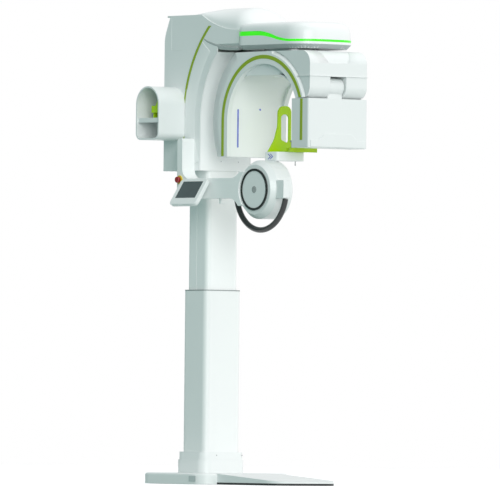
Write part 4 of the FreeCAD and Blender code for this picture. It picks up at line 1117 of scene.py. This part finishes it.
@dataclass
class SupportArm(Assembly):
    """Arm, drum and hand grip under the arch."""

    drum_axis: Flat = (0.600, 1.430)
    drum_radius: float = 0.1425
    arm_levels: tuple[float, float] = (1.390, 1.488)
    fillet: float = 0.088
    ring_clear: float = 0.110
    flare_depth: tuple[float, float] = (-0.2382, -0.164)
    mark_corners: tuple[Flat, ...] = (
        (-22.0, -10.0), (-16.0, -10.0), (2.0, -23.0), (-16.0, -36.0), (-22.0, -36.0), (-5.0, -23.0))
    mark_shift: float = 16.0 * MM
    pin_profile: tuple[Flat, ...] = (
        (0.0, -22.0), (2.0, -21.5), (2.8, -19.0), (2.8, -14.0), (2.0, -12.0), (2.0, 2.0), (0.0, 2.0))
    pin_place: Flat = (0.024, 1.5725)
    hub_profile: tuple[Flat, ...] = (
        (0.0, -1.0), (17.0, -1.0), (17.0, 0.6), (15.5, 1.6), (6.0, 1.9), (5.0, 1.2), (0.0, 1.2))

    def build(self) -> None:
        """Dress the arm, the drum and the grip."""
        # The arm and the chin block are painted lighter than the other shells, as painted light.
        self.dress(PAINTED_LIGHT_WHITE, "support_arm", "chin_block")
        self.dress(GLOSS_WHITE, "drum_housing")
        self.dress(GLOSS_BLACK, "drum_ring")
        self.dress(RUBBER, "hand_grip")
        self.dress(GLOSS_WHITE, "grip_mounts", "screen_bracket")
        self.dress(COLLAR_YELLOW, "stop_collar")
        self.flare_arm()
        self.mark_chin_block()
        self.turn_hub()

    def flare_side(self, level: float, upward: float) -> list[Flat]:
        """Concave line from the arm's edge to the drum.

        Args:
            level: Height of the arm's edge.
            upward: One for the upper edge, minus one for the lower edge.

        Returns:
            The line's points, from the arm to the drum.
        """
        cx, cz = self.drum_axis
        lift = upward * (level - cz) + self.fillet
        reach = self.drum_radius + self.fillet
        run = math.sqrt(reach ** 2 - lift ** 2)
        centre = (cx - run, cz + upward * lift)
        meet = math.degrees(math.atan2(-lift, run))
        points = arc((0.0, 0.0), self.fillet, -90.0, meet, 14)
        return [(centre[0] + x, centre[1] + upward * z) for x, z in points]

    def flare_arm(self) -> None:
        """Web that carries the arm's edges smoothly into the drum."""
        upper = self.flare_side(self.arm_levels[1], 1.0)
        lower = self.flare_side(self.arm_levels[0], -1.0)
        gap = arc(self.drum_axis, self.ring_clear, 128.0, 224.0, 20)
        loop = upper + gap + lower[::-1]
        web = prism("drum_flare", [loop], Axis.Y, self.flare_depth[0], self.flare_depth[1], 5.0 * MM)
        # Painted lighter, like the arm, as painted light.
        self.fit(web, PAINTED_LIGHT_WHITE, Slot.SHELL)

    def mark_chin_block(self) -> None:
        """Blue height mark on the end of the chin block, and its release pin below."""
        low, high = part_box("chin_block")
        middle = (low.x + high.x) / 2
        bars = [[(middle + x * MM + shift, high.z + z * MM) for x, z in self.mark_corners]
                for shift in (0.0, self.mark_shift)]
        chevron = prism("height_mark", bars, Axis.Y, low.y - 0.5 * MM, low.y + 0.5 * MM, 0.2 * MM)
        self.fit(chevron, MARK_BLUE, Slot.GREY)
        profile = [(radius * MM, rise * MM) for radius, rise in self.pin_profile]
        pin = turned("release_pin", profile, Vector((middle, *self.pin_place)), Axis.Z, 1.0, 20)
        self.fit(pin, MID_GREY, Slot.GREY)

    def turn_hub(self) -> None:
        """Low turned hub and a fine ring on the drum's disc."""
        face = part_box("drum_housing")[0].y
        centre = Vector((self.drum_axis[0], face, self.drum_axis[1]))
        profile = [(radius * MM, rise * MM) for radius, rise in self.hub_profile]
        self.fit(turned("disc_hub", profile, centre, Axis.Y, -1.0), MID_GREY, Slot.GREY)


@dataclass
class AccessoryPod(Assembly):
    """Open pod with its shelf and the spare chin rest."""

    def build(self) -> None:
        """Dress the pod."""
        self.dress(GLOSS_WHITE, "accessory_pod")
        self.dress(LIME, "spare_chin_rest")


@dataclass
class Screen(Assembly):
    """Tilting touch screen."""

    def build(self) -> None:
        """Dress the touch screen."""
        self.dress(GLOSS_WHITE, "screen_housing")
        self.dress(SLATE_GLASS, "screen_glass")


@dataclass
class StopButton(Assembly):
    """Emergency stop button."""

    def build(self) -> None:
        """Dress the button."""
        self.dress(STOP_RED, "stop_button")


@dataclass
class ChinRest(Assembly):
    """Chin rest with its bite rod."""

    def build(self) -> None:
        """Dress the chin rest."""
        self.dress(LIME, "chin_rest")
        self.dress(MID_GREY, "bite_rod")


@dataclass
class TempleSupport(Assembly):
    """One of the two temple supports."""

    node: str

    def build(self) -> None:
        """Dress the temple support."""
        self.dress(LIME, self.node)


@dataclass
class Studio:
    """Pale floor, soft lights and the camera."""

    floor_radius: float = 14.0
    camera_azimuth: float = 51.0
    camera_distance: float = 45.0
    camera_height: float = 0.35
    camera_roll: float = 0.6
    softbox_place: Point = (1.5, 0.4, 6.5)
    softbox_aim: Point = (0.3, 0.0, 1.0)
    softbox_side: float = 4.0
    softbox_power: float = 45.0
    key_angles: tuple[float, float] = (60.0, 14.0)
    key_energy: float = 1.5
    key_spread: float = 36.0
    camera_target: Point = (0.114, 0.141, 1.148)
    field_width: float = 2.45
    ambient: Colour = (0.575, 0.64, 0.63)
    slope: tuple[Point, Point, Point] = ((0.10, 0.46, 0.22), (0.08, 0.40, 0.17), (0.08, 0.41, 0.19))

    def build(self) -> None:
        """Set up the floor, the light and the camera."""
        self.lay_floor()
        self.light_world()
        self.hang_lights()
        self.place_camera()

    def lay_floor(self) -> None:
        """Round pale floor that melts into the background."""
        shape = bmesh.new()
        bmesh.ops.create_circle(shape, cap_ends=True, segments=96, radius=self.floor_radius)
        floor = mesh_piece("studio_floor", shape)
        sketch = ShaderTree("pale_studio_floor")
        shader = sketch.add("ShaderNodeBsdfPrincipled", Roughness=0.9)
        shader.inputs["Emission Color"].default_value = (1.0, 1.0, 1.0, 1.0)
        shader.inputs["Emission Strength"].default_value = 0.3
        tint = sketch.blend(sketch.remap(sketch.noise(0.8, 2.0), 0.0, 1.0), (0.86, 0.87, 0.87), (0.9, 0.9, 0.9))
        sketch.link(tint, shader.inputs["Base Color"])
        output = sketch.add("ShaderNodeOutputMaterial")
        sketch.link(shader.outputs[0], output.inputs["Surface"])
        floor.data.materials.append(sketch.material)
        floor.visible_diffuse = False

    def light_world(self) -> None:
        """Soft light from all round, stronger from the front right and from above, on a white background."""
        world = bpy.data.worlds.new("studio_world")
        bpy.context.scene.world = world
        world.use_nodes = True
        tree = world.node_tree
        tree.nodes.clear()
        place = tree.nodes.new("ShaderNodeTexCoord")
        channels = tree.nodes.new("ShaderNodeCombineColor")
        for index, (level, slope) in enumerate(zip(self.ambient, self.slope)):
            dot = tree.nodes.new("ShaderNodeVectorMath")
            dot.operation = "DOT_PRODUCT"
            tree.links.new(place.outputs["Generated"], dot.inputs[0])
            dot.inputs[1].default_value = slope
            total = tree.nodes.new("ShaderNodeMath")
            total.operation = "ADD"
            total.inputs[1].default_value = level
            tree.links.new(dot.outputs["Value"], total.inputs[0])
            tree.links.new(total.outputs[0], channels.inputs[index])
        soft = tree.nodes.new("ShaderNodeBackground")
        tree.links.new(channels.outputs[0], soft.inputs["Color"])
        white = tree.nodes.new("ShaderNodeBackground")
        white.inputs["Color"].default_value = (1.0, 1.0, 1.0, 1.0)
        path = tree.nodes.new("ShaderNodeLightPath")
        choose = tree.nodes.new("ShaderNodeMixShader")
        tree.links.new(path.outputs["Is Camera Ray"], choose.inputs[0])
        tree.links.new(soft.outputs[0], choose.inputs[1])
        tree.links.new(white.outputs[0], choose.inputs[2])
        output = tree.nodes.new("ShaderNodeOutputWorld")
        tree.links.new(choose.outputs[0], output.inputs["Surface"])

    def hang_lights(self) -> None:
        """A broad soft key from the viewer's right, and a large softbox overhead."""
        softbox = bpy.data.lights.new("top_softbox", "AREA")
        softbox.shape = "SQUARE"
        softbox.size, softbox.energy = self.softbox_side, self.softbox_power
        place = Vector(self.softbox_place)
        self.hang(softbox, place, place - Vector(self.softbox_aim))
        turn, lift = (math.radians(angle) for angle in self.key_angles)
        back = Vector((math.sin(turn) * math.cos(lift), -math.cos(turn) * math.cos(lift), math.sin(lift)))
        key = bpy.data.lights.new("broad_key", "SUN")
        key.energy, key.angle = self.key_energy, math.radians(self.key_spread)
        self.hang(key, Vector((0.0, 0.0, 0.0)), back)

    def hang(self, lamp: bpy.types.Light, place: Vector, back: Vector) -> None:
        """Put a light in the scene.

        Args:
            lamp: The light.
            place: Where it hangs.
            back: Direction from what it lights to the light.
        """
        holder = bpy.data.objects.new(lamp.name, lamp)
        bpy.context.scene.collection.objects.link(holder)
        holder.location = place
        holder.rotation_euler = (-back).to_track_quat("-Z", "Y").to_euler()

    def place_camera(self) -> None:
        """Long lens from far off, a little below the middle of the unit."""
        turn = math.radians(self.camera_azimuth)
        target = Vector(self.camera_target)
        back = Vector((math.sin(turn), -math.cos(turn), 0.0)) * self.camera_distance
        place = target + back
        place.z = self.camera_height
        lens = bpy.data.cameras.new("long_lens")
        lens.sensor_width = 36.0
        lens.lens = lens.sensor_width * self.camera_distance / self.field_width
        lens.clip_start = 1.0
        lens.clip_end = 400.0
        camera = bpy.data.objects.new("camera", lens)
        bpy.context.scene.collection.objects.link(camera)
        aim = (target - place).to_track_quat("-Z", "Y").to_matrix()
        camera.matrix_world = Matrix.Translation(place) @ (
            aim @ Matrix.Rotation(math.radians(self.camera_roll), 3, "Z")).to_4x4()
        bpy.context.scene.camera = camera
        bpy.context.scene.view_settings.view_transform = "Standard"


def main() -> None:
    """Build every assembly in order and set up the studio."""
    logging.basicConfig(level=logging.INFO, format="%(name)s: %(message)s")
    Studio().build()
    assemblies: list[Assembly] = [
        FloorBase(Body.BASE), Column(Body.BASE), Carriage(Body.CARRIAGE), BoomCap(Body.CARRIAGE), Arch(Body.ARCH),
        MotorShaft(Body.MOTOR_SHAFT), Detector(Body.DETECTOR), SupportArm(Body.CARRIAGE),
        AccessoryPod(Body.CARRIAGE), Screen(Body.SCREEN), StopButton(Body.STOP), ChinRest(Body.CHIN),
        TempleSupport(Body.TEMPLE_REAR, "temple_support_rear"),
        TempleSupport(Body.TEMPLE_FRONT, "temple_support_front"),
    ]
    for assembly in assemblies:
        assembly.build()


if __name__ == "__main__":
    main()
